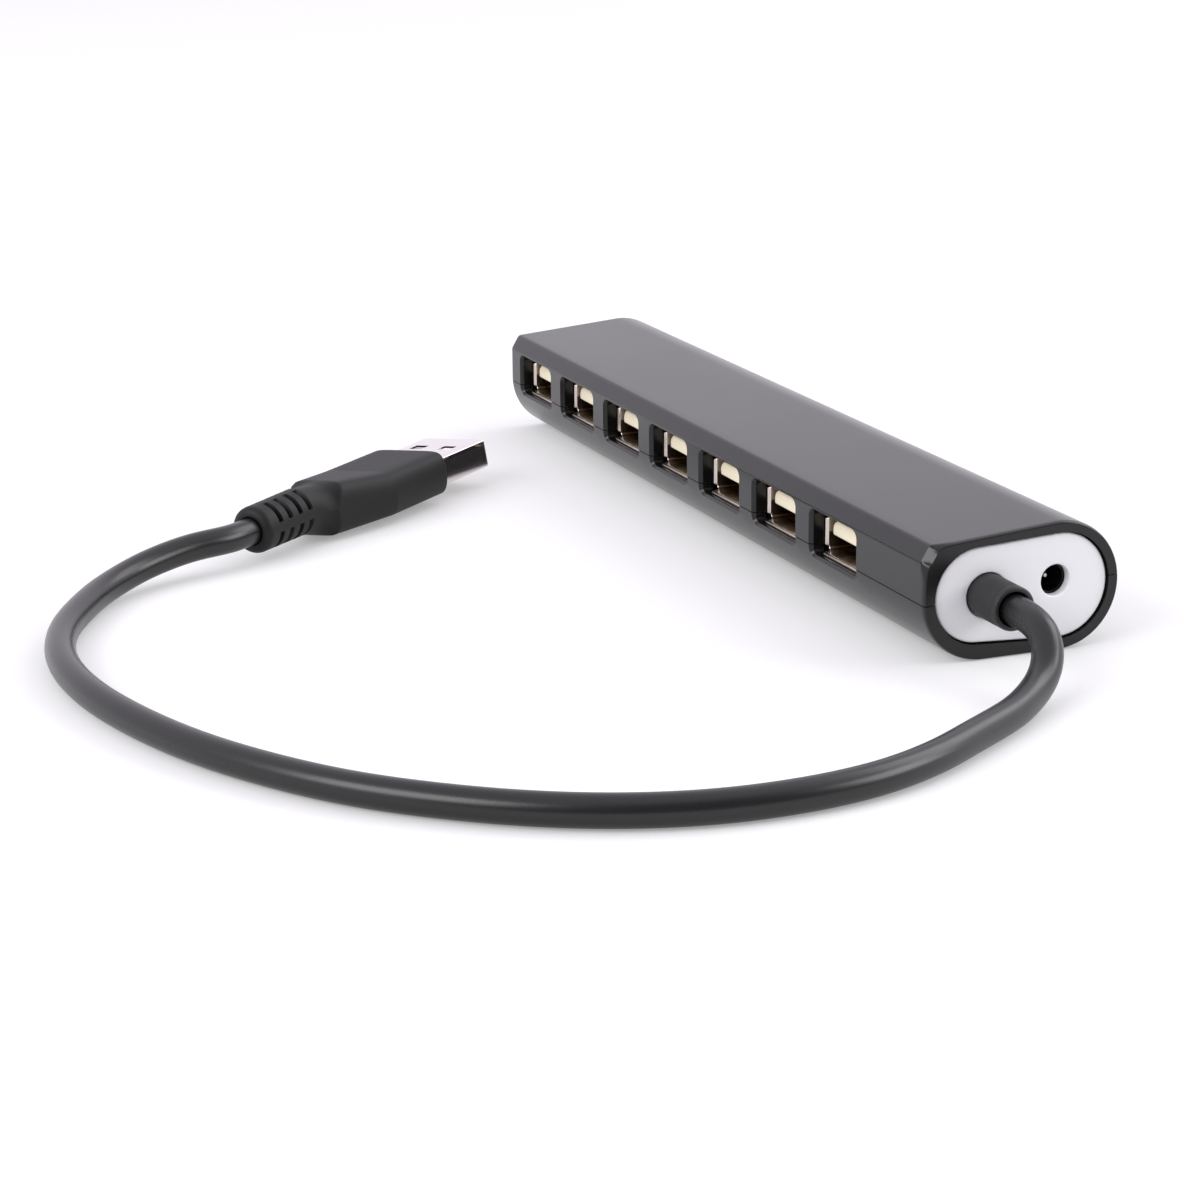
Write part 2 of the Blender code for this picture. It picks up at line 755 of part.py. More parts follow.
def smooth_route(knots):
    # Even points on a smooth curve through the knots; the first and last stretch stay straight leads
    path = []
    curve_steps = 12
    for i in range(1, len(knots) - 2):
        before, start, end, after = knots[i - 1:i + 3]
        first = start + (end - before) / 6
        second = end - (after - start) / 6
        path += interpolate_bezier(start, first, second, end, curve_steps)[:-1]
    path.append(knots[-2])
    length = sum((b - a).length for a, b in zip(path, path[1:]))
    steps = max(2, round(length / cable_point_step))
    points = [path[0]]
    walked = 0.0
    for a, b in zip(path, path[1:]):
        gap = (b - a).length
        while len(points) < steps and walked + gap >= len(points) * length / steps:
            share = (len(points) * length / steps - walked) / gap
            points.append(a.lerp(b, share))
        walked += gap
    points = [knots[0]] + points + [path[-1], knots[-1]]
    whole = sum((b - a).length for a, b in zip(points, points[1:]))
    print(f'cable length {whole / mm:.1f} mm in {len(points)} points')
    return points


def build_cable(rubber):
    place = plug_matrix()
    start = Vector((bore_floor + fit_gap, *cable_axis))
    leave = Vector((collar_end, *cable_axis))
    arrive = place @ Vector((relief_end + relief_bore_depth - fit_gap, 0.0, boot_lift))
    outside = place @ Vector((relief_end - cable_diameter, 0.0, boot_lift))
    corner = Vector((near_end, front_face, 0.0))
    hints = [corner + Vector(point) * mm for point in route_hints]
    tube('cable', smooth_route([start, leave] + hints + [outside, arrive]), cable_diameter, rubber)


def main():
    clear_scene()
    black = material('case_black', (0.022, 0.021, 0.024), 0.5)
    white = material('plate_white', (0.86, 0.87, 0.89), 0.45)
    metal = material('bright_metal', (0.72, 0.68, 0.64), 0.3, 1.0)
    cream = material('cream_plastic', (0.76, 0.7, 0.5), 0.5)
    rubber = material('cable_black', (0.03, 0.029, 0.032), 0.5)
    green = material('board_green', (0.03, 0.16, 0.07), 0.5)
    dark = material('chip_black', (0.015, 0.015, 0.015), 0.6)
    sleeve = material('capacitor_blue', (0.03, 0.05, 0.16), 0.4)
    wires = (
        ('wire_red', material('wire_red', (0.5, 0.02, 0.02), 0.5)),
        ('wire_white', material('wire_white', (0.8, 0.8, 0.8), 0.5)),
        ('wire_green', material('wire_green', (0.02, 0.3, 0.05), 0.5)),
        ('wire_black', material('wire_black', (0.02, 0.02, 0.02), 0.5)),
    )
    build_case(black)
    build_plate(white)
    build_board(green, dark, metal, sleeve)
    for number in range(1, port_count + 1):
        build_port(number, metal, cream)
    build_jack(dark, metal)
    build_collar(rubber)
    build_tail(rubber, wires)
    build_boot(rubber)
    build_plug_end(metal, cream)
    build_cable(rubber)


main()
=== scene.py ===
import math

import bmesh
import bpy
import numpy as np
from mathutils import Euler, Matrix, Vector


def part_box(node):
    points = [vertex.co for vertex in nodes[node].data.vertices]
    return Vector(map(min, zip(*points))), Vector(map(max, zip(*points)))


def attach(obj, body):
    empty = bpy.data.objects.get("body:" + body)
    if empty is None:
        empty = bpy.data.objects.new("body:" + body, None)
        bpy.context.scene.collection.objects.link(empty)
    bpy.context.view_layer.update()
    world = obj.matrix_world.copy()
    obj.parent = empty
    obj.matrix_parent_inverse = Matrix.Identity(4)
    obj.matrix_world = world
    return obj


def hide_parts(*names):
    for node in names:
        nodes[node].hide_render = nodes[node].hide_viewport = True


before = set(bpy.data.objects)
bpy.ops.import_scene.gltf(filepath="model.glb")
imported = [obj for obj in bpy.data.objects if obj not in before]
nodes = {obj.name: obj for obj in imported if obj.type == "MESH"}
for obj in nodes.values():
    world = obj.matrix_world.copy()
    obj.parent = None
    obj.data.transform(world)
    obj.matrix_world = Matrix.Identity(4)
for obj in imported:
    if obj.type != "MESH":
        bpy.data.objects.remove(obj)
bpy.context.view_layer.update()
mm = 0.001


# mesh tools: a piece is a list of grids of points, welded where they meet

def gridPatch(points, wrap=False):
    # a grid of points becomes quads; wrap joins the last column to the first
    rows, cols = points.shape[:2]
    ids = np.arange(rows * cols).reshape(rows, cols)
    if wrap:
        ids = np.concatenate([ids, ids[:, :1]], axis=1)
    quads = np.stack([ids[:-1, :-1], ids[:-1, 1:], ids[1:, 1:], ids[1:, :-1]], axis=-1)
    return points.reshape(-1, 3), quads.reshape(-1, 4)


def buildPiece(name, patches, look, weld=1e-6):
    # the grids joined into one mesh, doubles merged, faces turned outward
    counts = np.cumsum([0] + [len(points) for points, _ in patches])
    points = np.concatenate([points for points, _ in patches])
    quads = np.concatenate([quads + start for (_, quads), start in zip(patches, counts)])
    mesh = bpy.data.meshes.new(name)
    mesh.from_pydata(points.tolist(), [], quads.tolist())
    work = bmesh.new()
    work.from_mesh(mesh)
    bmesh.ops.remove_doubles(work, verts=work.verts, dist=weld)
    bmesh.ops.dissolve_degenerate(work, edges=work.edges, dist=1e-8)
    bmesh.ops.recalc_face_normals(work, faces=work.faces)
    work.to_mesh(mesh)
    work.free()
    mesh.polygons.foreach_set("use_smooth", [True] * len(mesh.polygons))
    mesh.materials.append(look)
    piece = bpy.data.objects.new(name, mesh)
    bpy.context.scene.collection.objects.link(piece)
    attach(piece, "root")
    return piece


def inMetres(patches):
    # patches that were worked out in mm
    return [(points * mm, quads) for points, quads in patches]


def thicken(piece, thickness):
    # a wall that grows inward from the surface
    step = piece.modifiers.new("wall", "SOLIDIFY")
    step.thickness = thickness
    step.offset = -1.0


def settle(piece, angle):
    # modifiers become mesh, and edges sharper than the angle keep a hard shade
    graph = bpy.context.evaluated_depsgraph_get()
    piece.data = bpy.data.meshes.new_from_object(piece.evaluated_get(graph))
    piece.modifiers.clear()
    piece.data.set_sharp_from_angle(angle=math.radians(angle))


def blendRows(first, second, shares):
    # rows of points that pass from one curve to another
    shares = np.asarray(shares, float)[:, None, None]
    return first[None] * (1 - shares) + second[None] * shares


def placed(x, yz):
    # a curve in (y, z) set at one x, or at an array of x
    column = np.broadcast_to(np.asarray(x, float).reshape(-1, 1), (len(yz), 1))
    return np.concatenate([column, yz], axis=1)


def insetCurve(points, distance):
    # every point moves inward along the mean normal of its two neighbours, so that sides stay parallel
    step = np.diff(points, axis=0)
    normal = np.stack([-step[:, 1], step[:, 0]], axis=1)
    normal /= np.linalg.norm(normal, axis=1, keepdims=True)
    before = np.concatenate([normal[:1], normal])
    after = np.concatenate([normal, normal[-1:]])
    move = (before + after) / (1 + (before * after).sum(1, keepdims=True))
    return points + move * np.asarray(distance, float).reshape(-1, 1)


def arcPoints(centre, radius, start, end, count):
    # part of a circle: the centre plus the radius times (cos, sin)
    angle = np.linspace(start, end, count)
    return np.stack([centre[0] + radius * np.cos(angle), centre[1] + radius * np.sin(angle)], axis=1)


def roundedLoop(width, height, corner, steps, along=()):
    # rounded rectangle, counter-clockwise from the lower right corner, with points along its sides;
    # gives the points, the outward normals and 1 on a side, 0 on a corner
    signs = np.array([(1, -1), (1, 1), (-1, 1), (-1, -1)], float)
    centres = signs * np.array([width / 2 - corner, height / 2 - corner])
    angle = (np.arange(4)[:, None] - 1) * np.pi / 2 + np.linspace(0, np.pi / 2, steps)[None]
    normals = np.stack([np.cos(angle), np.sin(angle)], axis=-1)
    arcs = centres[:, None] + normals * corner
    share = np.asarray(along, float)[None, :, None]
    following = np.roll(arcs, -1, axis=0)
    sides = arcs[:, -1:] * (1 - share) + following[:, :1] * share
    sideNormals = np.broadcast_to(normals[:, -1:], sides.shape)
    points = np.concatenate([arcs, sides], axis=1).reshape(-1, 2)
    flags = np.tile(np.concatenate([np.zeros(steps), np.ones(len(along))]), 4)
    return points, np.concatenate([normals, sideNormals], axis=1).reshape(-1, 2), flags


def filletPoints(before, corner, after, radius, count):
    # arc tangent to the two lines that meet at the corner
    first, second = ((end - corner) / np.linalg.norm(end - corner) for end in (before, after))
    half = math.acos(first @ second) / 2
    centre = corner + (first + second) / np.linalg.norm(first + second) * radius / math.sin(half)
    start, end = (corner + way * radius / math.tan(half) - centre for way in (first, second))
    sweep = np.pi - 2 * half
    turn = np.linspace(0, sweep, count)[:, None]
    return centre + (start * np.sin(sweep - turn) + end * np.sin(turn)) / math.sin(sweep)


# shader tools

class Wire:
    # a socket with arithmetic: every operator adds a Math node
    def __init__(self, tree, socket):
        self.tree = tree
        self.socket = socket

    def combine(self, operation, first, second):
        node = self.tree.nodes.new("ShaderNodeMath")
        node.operation = operation
        for slot, value in zip(node.inputs, (first, second)):
            if isinstance(value, Wire):
                self.tree.links.new(value.socket, slot)
            else:
                slot.default_value = value
        return Wire(self.tree, node.outputs[0])

    def __add__(self, other):
        return self.combine("ADD", self, other)

    def __radd__(self, other):
        return self.combine("ADD", other, self)

    def __sub__(self, other):
        return self.combine("SUBTRACT", self, other)

    def __rsub__(self, other):
        return self.combine("SUBTRACT", other, self)

    def __mul__(self, other):
        return self.combine("MULTIPLY", self, other)

    def __rmul__(self, other):
        return self.combine("MULTIPLY", other, self)


class NodeSet:
    # the nodes of one tree; add() makes any node from its type, its settings and its sockets
    def __init__(self, tree):
        self.tree = tree
        self.tree.nodes.clear()

    def add(self, kind, settings=None, sockets=None, out=0):
        node = self.tree.nodes.new("ShaderNode" + kind)
        for name, value in (settings or {}).items():
            if name == "stops":
                self.setStops(node.color_ramp, value)
            else:
                setattr(node, name, value)
        for name, value in (sockets or {}).items():
            if isinstance(value, Wire):
                self.tree.links.new(value.socket, node.inputs[name])
            else:
                node.inputs[name].default_value = value
        return Wire(self.tree, node.outputs[out]) if node.outputs else None

    def setStops(self, ramp, stops):
        while len(ramp.elements) < len(stops):
            ramp.elements.new(1.0)
        for element, (place, colour) in zip(ramp.elements, stops):
            element.position = place
            element.color = colour


class Look(NodeSet):
    # one material, whose patterns read Object coordinates
    def __init__(self, name):
        self.material = bpy.data.materials.new(name)
        self.material.use_nodes = True
        super().__init__(self.material.node_tree)
        self.coords = self.add("TexCoord", out="Object")

    def noise(self, scale, detail=2.0, roughness=0.5, vector=None):
        values = {"Vector": vector or self.coords, "Scale": scale, "Detail": detail, "Roughness": roughness}
        return self.add("TexNoise", None, values)

    def stretched(self, scale):
        return self.add("Mapping", {"vector_type": "POINT"}, {"Vector": self.coords, "Scale": scale})

    def mixColour(self, share, first, second):
        colours = {0: share, 6: (*first, 1.0), 7: (*second, 1.0)}
        return self.add("Mix", {"data_type": "RGBA"}, colours, 2)

    def bump(self, height, strength, distance):
        return self.add("Bump", None, {"Height": height, "Strength": strength, "Distance": distance})

    def surface(self, **sockets):
        names = {key.replace("_", " "): value for key, value in sockets.items()}
        shader = self.add("BsdfPrincipled", None, names)
        self.add("OutputMaterial", None, {"Surface": shader})
        return self.material


moulding = {"cloudScale": 60.0, "cloudDetail": 3.0, "uneven": 0.06, "grainDepth": 0.00003}


def plasticLook(name, dark, pale, roughness, grainScale, grain, gloss=0.5):
    # moulded plastic: fine spark texture, faint cloudy tone and roughness
    look = Look(name)
    uneven = moulding["uneven"]
    cloud = look.noise(moulding["cloudScale"], moulding["cloudDetail"])
    fine = look.noise(grainScale, 1.0)
    tone = look.mixColour(cloud, dark, pale)
    rough = roughness + (cloud - 0.5) * uneven + (fine - 0.5) * uneven
    bump = look.bump(fine, grain, moulding["grainDepth"])
    return look.surface(Base_Color=tone, Roughness=rough, Specular_IOR_Level=gloss, Normal=bump)


plating = {"streakDetail": 3.0, "streakRough": 0.6, "stainScale": 350.0, "streakShare": 0.6,
           "streakUneven": 0.14, "stainUneven": 0.08}


def streaks(look, brush):
    # noise drawn out along one direction
    return look.noise(1.0, plating["streakDetail"], plating["streakRough"], look.stretched(brush))


def metalLook(name, dark, pale, roughness, brush, vary=1.0):
    # plated sheet: streaks along one direction and small stains
    look = Look(name)
    streak = streaks(look, brush)
    stain = look.noise(plating["stainScale"], plating["streakDetail"])
    share = plating["streakShare"]
    tone = look.mixColour(streak * share + stain * (1 - share), dark, pale)
    rough = (roughness + (streak - 0.5) * (plating["streakUneven"] * vary)
             + (stain - 0.5) * (plating["stainUneven"] * vary))
    return look.surface(Base_Color=tone, Metallic=1.0, Roughness=rough)


# share of the painted shade in the lining's tone, and how uneven its roughness is
lining = {"shadeShare": 0.9, "uneven": 0.12}


def paintedShadeLook(name, mouthTone, shadeTone, start, end, metallic, roughness, brush):
    # port lining: bright at the mouth, duller and browner along Y toward the back; this darkening is painted
    # shade for the unlit inside of the port
    look = Look(name)
    place = look.add("SeparateXYZ", None, {0: look.coords}, "Y")
    # painted shade: the share of the shaded tone, rising along Y from the mouth toward the back
    depth = look.add("MapRange", {"interpolation_type": "SMOOTHSTEP"},
                     {"Value": place, "From Min": start * mm, "From Max": end * mm})
    streak = streaks(look, brush)
    share = lining["shadeShare"]
    tone = look.mixColour(depth * share + streak * (1 - share), mouthTone, shadeTone)
    rough = roughness + (streak - 0.5) * lining["uneven"]
    return look.surface(Base_Color=tone, Metallic=metallic, Roughness=rough)


boardFinish = {"trackScale": 260.0, "wander": 6.0, "wanderScale": 0.4, "trackEdge": (0.55, 0.62),
               "mask": (0.008, 0.065, 0.024), "track": (0.024, 0.14, 0.055), "roughness": 0.35, "relief": 0.3}


def boardLook():
    # solder mask over copper tracks: stripes broken by noise show as paler green
    look = Look("board_green")
    finish = boardFinish
    track = look.add("TexWave", {"bands_direction": "Y"},
                     {"Vector": look.coords, "Scale": finish["trackScale"], "Distortion": finish["wander"],
                      "Detail": 1.0, "Detail Scale": finish["wanderScale"]})
    start, end = finish["trackEdge"]
    lines = look.add("ValToRGB", {"stops": [(start, (0, 0, 0, 1)), (end, (1, 1, 1, 1))]}, {"Fac": track})
    tone = look.mixColour(lines, finish["mask"], finish["track"])
    bump = look.bump(lines, finish["relief"], moulding["grainDepth"])
    return look.surface(Base_Color=tone, Roughness=finish["roughness"], Normal=bump)


blackTones = (0.0034, 0.0033, 0.0036), (0.0056, 0.0054, 0.0058)
brushAlong, brushAcross = (300.0, 6000.0, 6000.0), (900.0, 2400.0, 900.0)
wireTones = {
    "wire_red": ((0.42, 0.015, 0.015), (0.55, 0.03, 0.03)),
    "wire_white": ((0.72, 0.72, 0.70), (0.82, 0.82, 0.80)),
    "wire_green": ((0.015, 0.24, 0.04), (0.03, 0.33, 0.07)),
    "wire_black": ((0.015, 0.015, 0.015), (0.025, 0.025, 0.025)),
}
# material, dark tone, pale tone, roughness, scale and height of the grain, gloss where it isn't 0.5
mouldedFinishes = {
    "case": ("case_black", *blackTones, 0.23, 6500.0, 0.08, 0.42),
    "plate": ("plate_white", (0.915, 0.92, 0.93), (0.935, 0.94, 0.95), 0.45, 5000.0, 0.06),
    "cable": ("cable_black", *blackTones, 0.29, 4200.0, 0.06),
    "boot": ("boot_black", *blackTones, 0.56, 5200.0, 0.2, 0.32),
    "collar": ("collar_black", (0.010, 0.010, 0.0105), (0.015, 0.015, 0.0155), 0.55, 5200.0, 0.3),
    "jack": ("jack_black", (0.004, 0.004, 0.004), (0.007, 0.007, 0.007), 0.4, 4000.0, 0.2),
    "chip": ("chip_black", (0.012, 0.012, 0.012), (0.02, 0.02, 0.02), 0.6, 6000.0, 0.4),
    "sleeve": ("capacitor_blue", (0.025, 0.04, 0.14), (0.035, 0.055, 0.18), 0.35, 3000.0, 0.1),
    "insulator": ("insulator_cream", (0.74, 0.68, 0.52), (0.82, 0.77, 0.62), 0.42, 4000.0, 0.1),
    **{name: (name, *tones, 0.4, 5000.0, 0.1) for name, tones in wireTones.items()},
}
# material, dark tone, pale tone, roughness, stretch of the brushing, how uneven where it isn't 1
metalFinishes = {
    "tin": ("tin_metal", (0.42, 0.39, 0.36), (0.60, 0.56, 0.52), 0.28, brushAlong),
    "plugMetal": ("plug_metal", (0.70, 0.645, 0.655), (0.78, 0.72, 0.73), 0.08, brushAcross, 0.4),
    "gold": ("contact_gold", (0.60, 0.42, 0.16), (0.78, 0.58, 0.26), 0.25, (4000.0, 400.0, 4000.0)),
}
# material, tone at the mouth and painted-shade tone at the back, where they change along Y, metallic,
# roughness, brushing
liningFinishes = {
    "shell": ("port_metal", (0.62, 0.55, 0.50), (0.22, 0.14, 0.065), -12.1, -10.2, 1.0, 0.24, brushAlong),
    "cream": ("port_cream", (0.93, 0.85, 0.64), (0.26, 0.18, 0.09), -10.0, -4.0, 0.0, 0.4, brushAlong),
}


def makeLooks():
    # every finish, by the function for its kind
    kinds = (plasticLook, mouldedFinishes), (metalLook, metalFinishes), (paintedShadeLook, liningFinishes)
    looks = {"board": boardLook()}
    for makeLook, finishes in kinds:
        looks.update({key: makeLook(*values) for key, values in finishes.items()})
    return looks


looks = makeLooks()
print("looks ready")


# camera, from the fit of the photo, and stage

cameraFit = {
    "place": (423.50, -199.81, 123.34),  # mm
    "azimuth": 68.099, "elevation": 16.248, "roll": -0.451,
    "focal": 3076.87, "imageSide": 1200.0,  # pixels
    "sensor": 36.0, "nearest": 0.01, "farthest": 20.0,
}


def makeCamera():
    # axes of the view from its bearing and height, then rolled about the line of sight
    fit = cameraFit
    turn, lift, roll = (math.radians(fit[key]) for key in ("azimuth", "elevation", "roll"))
    back = Vector((math.sin(turn) * math.cos(lift), -math.cos(turn) * math.cos(lift), math.sin(lift)))
    right = Vector((0, 0, 1)).cross(back).normalized()
    up = back.cross(right)
    rightTurned = right * math.cos(roll) + up * math.sin(roll)
    upTurned = up * math.cos(roll) - right * math.sin(roll)
    lens = bpy.data.cameras.new("photo_camera")
    lens.sensor_width = fit["sensor"]
    lens.lens = fit["sensor"] * fit["focal"] / fit["imageSide"]
    lens.clip_start = fit["nearest"]
    lens.clip_end = fit["farthest"]
    camera = bpy.data.objects.new("photo_camera", lens)
    bpy.context.scene.collection.objects.link(camera)
    matrix = Matrix((rightTurned, upTurned, back)).transposed().to_4x4()
    camera.matrix_world = Matrix.Translation(Vector(fit["place"]) * mm) @ matrix
    bpy.context.scene.camera = camera


stage = {
    "floorSide": 6.0, "floorTone": 0.58, "floorLift": 0.29,
    "backdrop": 1.1, "room": 0.34, "fall": (0.2, 0.8),  # the room in front of the cable end is dim
    "air": (0.985, 0.95, 1.03),
    # each softbox: bearing and height in degrees, distance, width and height in metres, radiance
    "softboxes": (
        (-72.0, 32.0, 1.4, 1.0, 0.65, 5.0),
        (60.0, 25.0, 1.4, 0.8, 0.6, 4.8),
        (100.0, 40.0, 1.5, 0.9, 0.8, 2.4),
    ),
}


def makeFloor():
    # flat square; a lift brings it to white where it is seen, mirrored or looked through, not as a light
    half = stage["floorSide"] / 2
    span = np.linspace(-half, half, 3)
    points = np.stack([*np.meshgrid(span, span, indexing="ij"), np.zeros((3, 3))], axis=-1)
    vertices, quads = gridPatch(points)
    mesh = bpy.data.meshes.new("floor")
    mesh.from_pydata(vertices.tolist(), [], quads[:, ::-1].tolist())
    floor = bpy.data.objects.new("floor", mesh)
    bpy.context.scene.collection.objects.link(floor)
    look = Look("floor_white")
    plain = look.add("BsdfDiffuse", None, {"Color": (stage["floorTone"],) * 3 + (1.0,)})
    lit = look.add("Emission", None, {"Color": (1, 1, 1, 1), "Strength": stage["floorLift"]})
    rays = ("Is Camera Ray", "Is Glossy Ray", "Is Transmission Ray")
    seen, shiny, clear = (look.add("LightPath", out=ray) for ray in rays)
    both = look.add("AddShader", None, {0: plain, 1: lit})
    mixed = look.add("MixShader", None, {0: seen + shiny + clear, 1: plain, 2: both})
    look.add("OutputMaterial", None, {"Surface": mixed})
    mesh.materials.append(look.material)


def makeWorld():
    # white backdrop all round, falling off toward the room in front of the cable end
    world = bpy.data.worlds.new("studio")
    bpy.context.scene.world = world
    world.use_nodes = True
    sky = NodeSet(world.node_tree)
    way = sky.add("SeparateXYZ", None, {0: sky.add("TexCoord", out="Generated")}, "X")
    start, end = stage["fall"]
    fall = sky.add("MapRange", {"interpolation_type": "SMOOTHSTEP"},
                   {"Value": way, "From Min": start, "From Max": end,
                    "To Min": stage["backdrop"], "To Max": stage["room"]})
    air = sky.add("Background", None, {"Color": (*stage["air"], 1.0), "Strength": fall})
    sky.add("OutputWorld", None, {"Surface": air})


def makeSoftboxes():
    # area lamps that face the hub; power is radiance times pi times area
    for number, (bearing, height, distance, wide, tall, radiance) in enumerate(stage["softboxes"], 1):
        turn, lift = math.radians(bearing), math.radians(height)
        way = Vector((math.cos(turn) * math.cos(lift), math.sin(turn) * math.cos(lift), math.sin(lift)))
        lamp = bpy.data.lights.new(f"softbox_{number}", "AREA")
        lamp.shape = "RECTANGLE"
        lamp.size = wide
        lamp.size_y = tall
        lamp.energy = radiance * math.pi * wide * tall
        box = bpy.data.objects.new(f"softbox_{number}", lamp)
        bpy.context.scene.collection.objects.link(box)
        box.location = way * distance
        box.rotation_euler = way.to_track_quat("Z", "Y").to_euler()
        box.visible_camera = False


makeCamera()
makeFloor()
makeWorld()
makeSoftboxes()
bpy.context.scene.view_settings.view_transform = "Standard"
print("camera and stage ready")


# cable: the photographed loop, from the collar to the plug

plugPose = {
    "place": Vector((-35.65, -48.05, 4.57)) * mm,
    "turn": Euler((math.radians(-5.0), math.radians(-1.0), math.radians(128.8)), "XYZ"),
    "lift": 1.2,  # the relief's axis stands this much above the boot's
}
plugMatrix = Matrix.Translation(plugPose["place"]) @ plugPose["turn"].to_matrix().to_4x4()
cable = {
    "diameter": 4.2, "exitX": 82.3, "leaveX": 85.0, "y": -5.14, "z": 8.9,
    "plugOut": -49.0, "plugEnd": -43.5, "sides": 32, "spacing": 0.8,
    "knotSteps": 24, "meanReach": 3, "meanRuns": 2,  # points between knots, and the running mean
    "route": [
        (91.0, -5.0, 8.5), (94.0, -5.3, 7.1), (95.6, -5.9, 5.5), (96.9, -7.1, 4.1), (98.9, -9.3, 3.0),
        (101.8, -12.6, 2.4), (105.4, -16.9, 2.2), (110.8, -25.0, 2.2), (116.2, -33.5, 2.2),
        (120.3, -43.5, 2.2), (121.9, -55.0, 2.2), (120.8, -67.0, 2.2), (116.3, -79.2, 2.2),
        (108.4, -91.0, 2.2), (97.5, -101.9, 2.2), (82.5, -111.2, 2.2), (67.0, -117.2, 2.2),
        (51.0, -120.6, 2.2), (36.0, -120.8, 2.2), (22.5, -117.6, 2.2), (10.0, -111.2, 2.3),
        (3.7, -106.4, 2.6), (-0.4, -101.3, 3.4), (-2.6, -96.4, 4.2), (-4.2, -91.3, 4.8),
    ],
}


def onPlug(points):
    # points in the plug's own frame, in mm, to the row frame in metres
    matrix = np.array(plugMatrix)
    return np.asarray(points, float) * mm @ matrix[:3, :3].T + matrix[:3, 3]


def smoothRoute(knots, spacing):
    # cubic curve through the knots, read at even steps, then rounded by a short running mean
    start, end, before, after = knots[1:-2], knots[2:-1], knots[:-3], knots[3:]
    first = start + (end - before) / 6
    second = end - (after - start) / 6
    t = np.linspace(0, 1, cable["knotSteps"], endpoint=False)[None, :, None]
    curve = (start[:, None] * (1 - t) ** 3 + 3 * first[:, None] * t * (1 - t) ** 2
             + 3 * second[:, None] * t ** 2 * (1 - t) + end[:, None] * t ** 3).reshape(-1, 3)
    curve = np.concatenate([knots[:1], curve, knots[-2:]])
    along = np.concatenate([[0], np.cumsum(np.linalg.norm(np.diff(curve, axis=0), axis=1))])
    even = np.linspace(0, along[-1], int(round(along[-1] / spacing)) + 1)
    path = np.stack([np.interp(even, along, curve[:, i]) for i in range(3)], axis=1)
    reach = cable["meanReach"]
    kernel = np.ones(2 * reach + 1) / (2 * reach + 1)
    for _ in range(cable["meanRuns"]):
        middle = np.stack([np.convolve(path[:, i], kernel, "valid") for i in range(3)], axis=1)
        path = np.concatenate([path[:reach], middle, path[-reach:]])
    return path


def tubePoints(path, radius, sides):
    # rings square to the path: its point plus the radius times (cos level, sin upward)
    way = np.gradient(path, axis=0)
    way /= np.linalg.norm(way, axis=1, keepdims=True)
    side = np.cross(way, (0.0, 0.0, 1.0))
    side /= np.linalg.norm(side, axis=1, keepdims=True)
    lift = np.cross(side, way)
    angle = np.linspace(0, 2 * np.pi, sides, endpoint=False)[None, :, None]
    return path[:, None] + radius * (side[:, None] * np.cos(angle) + lift[:, None] * np.sin(angle))


def makeCable():
    # a tube along the loop, closed by a fan at each end
    values = cable
    ends = onPlug([(values[key], 0, plugPose["lift"]) for key in ("plugOut", "plugEnd")]) / mm
    starts = [(values[key], values["y"], values["z"]) for key in ("exitX", "leaveX")]
    knots = np.array([*starts, *values["route"], *ends.tolist()])
    path = smoothRoute(knots, values["spacing"]) * mm
    rings = tubePoints(path, values["diameter"] / 2 * mm, values["sides"])
    caps = [blendRows(np.broadcast_to(path[end], rings[end].shape), rings[end], (0.0, 1.0))
            for end in (0, -1)]
    piece = buildPiece("hub_cable", [gridPatch(grid, True) for grid in (rings, *caps)], looks["cable"])
    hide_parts("cable")
    length = float(np.linalg.norm(np.diff(path, axis=0), axis=1).sum())
    print(f"cable {length / mm:.1f} mm")
    return piece, path, length


cablePiece, cablePath, cableLength = makeCable()


# case: two half shells, each a set of grids

caseLow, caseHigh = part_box("bottom_case")[0] / mm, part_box("top_cover")[1] / mm
case = {
    "front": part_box("top_cover")[0].y / mm, "back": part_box("bottom_case")[1].y / mm, "near": caseHigh.x,
    "far": caseLow.x, "height": 18.0, "slope": 4.6, "frontRound": 9.0, "chamferRun": 1.3, "chamferDrop": 2.2,
    "footFillet": 1.2, "topFillet": 0.9, "seamFront": 8.4, "seamBack": 9.8, "seamGap": 0.13, "farRound": 0.8,
    "nearBevel": 0.3, "nearRun": 0.9, "nearMargin": 0.1, "cornerRun": 1.3, "cornerInset": 0.9,
    "cornerFoot": 1.6, "cornerShare": (0.6, 0.8),  # of the facet, at the foot and at the top of the chamfer
    "skin": 0.4, "bandFoot": 4.4, "hardAngle": 32,
    # rows of the far cap and of the near rim as shares of their width, and depths of the opening's wall
    "capRows": (0.04, 0.3, 0.65, 1.0), "rimRows": (0.03, 0.5, 1.0), "holeRows": (0.1, 0.6),
}
# points along each stretch of the case
caseSteps = {"footArc": 6, "slant": 4, "topArc": 8, "top": 14, "back": 34, "roundFoot": 14, "under": 10,
             "lowBack": 30, "farStrip": 4, "nearStrip": 7, "farRound": 9, "nearRound": 7}
window = {"count": 7, "pitch": 19.4, "lastFromEnd": 27.6, "width": 14.3, "bottom": 6.65, "top": 13.75,
          "corner": 1.2, "depth": 2.2, "bevel": 0.5,
          # how far the edge of the opening stands out at the face and behind the bevel
          "growSide": (0.38, -0.12), "growTop": (0.14, 0.0), "growFoot": (0.05, -0.45),
          # the bevel's profile: share of that growth, depth
          "profile": ((0.4, 0.4), (0.75, 0.75), (0.9, 0.95), (0.98, 1.15), (1.0, 1.4)),
          "legSteps": 5, "cornerSteps": (5, 6), "edgeSteps": 11, "cellRows": (0.0, 0.5, 1.0)}
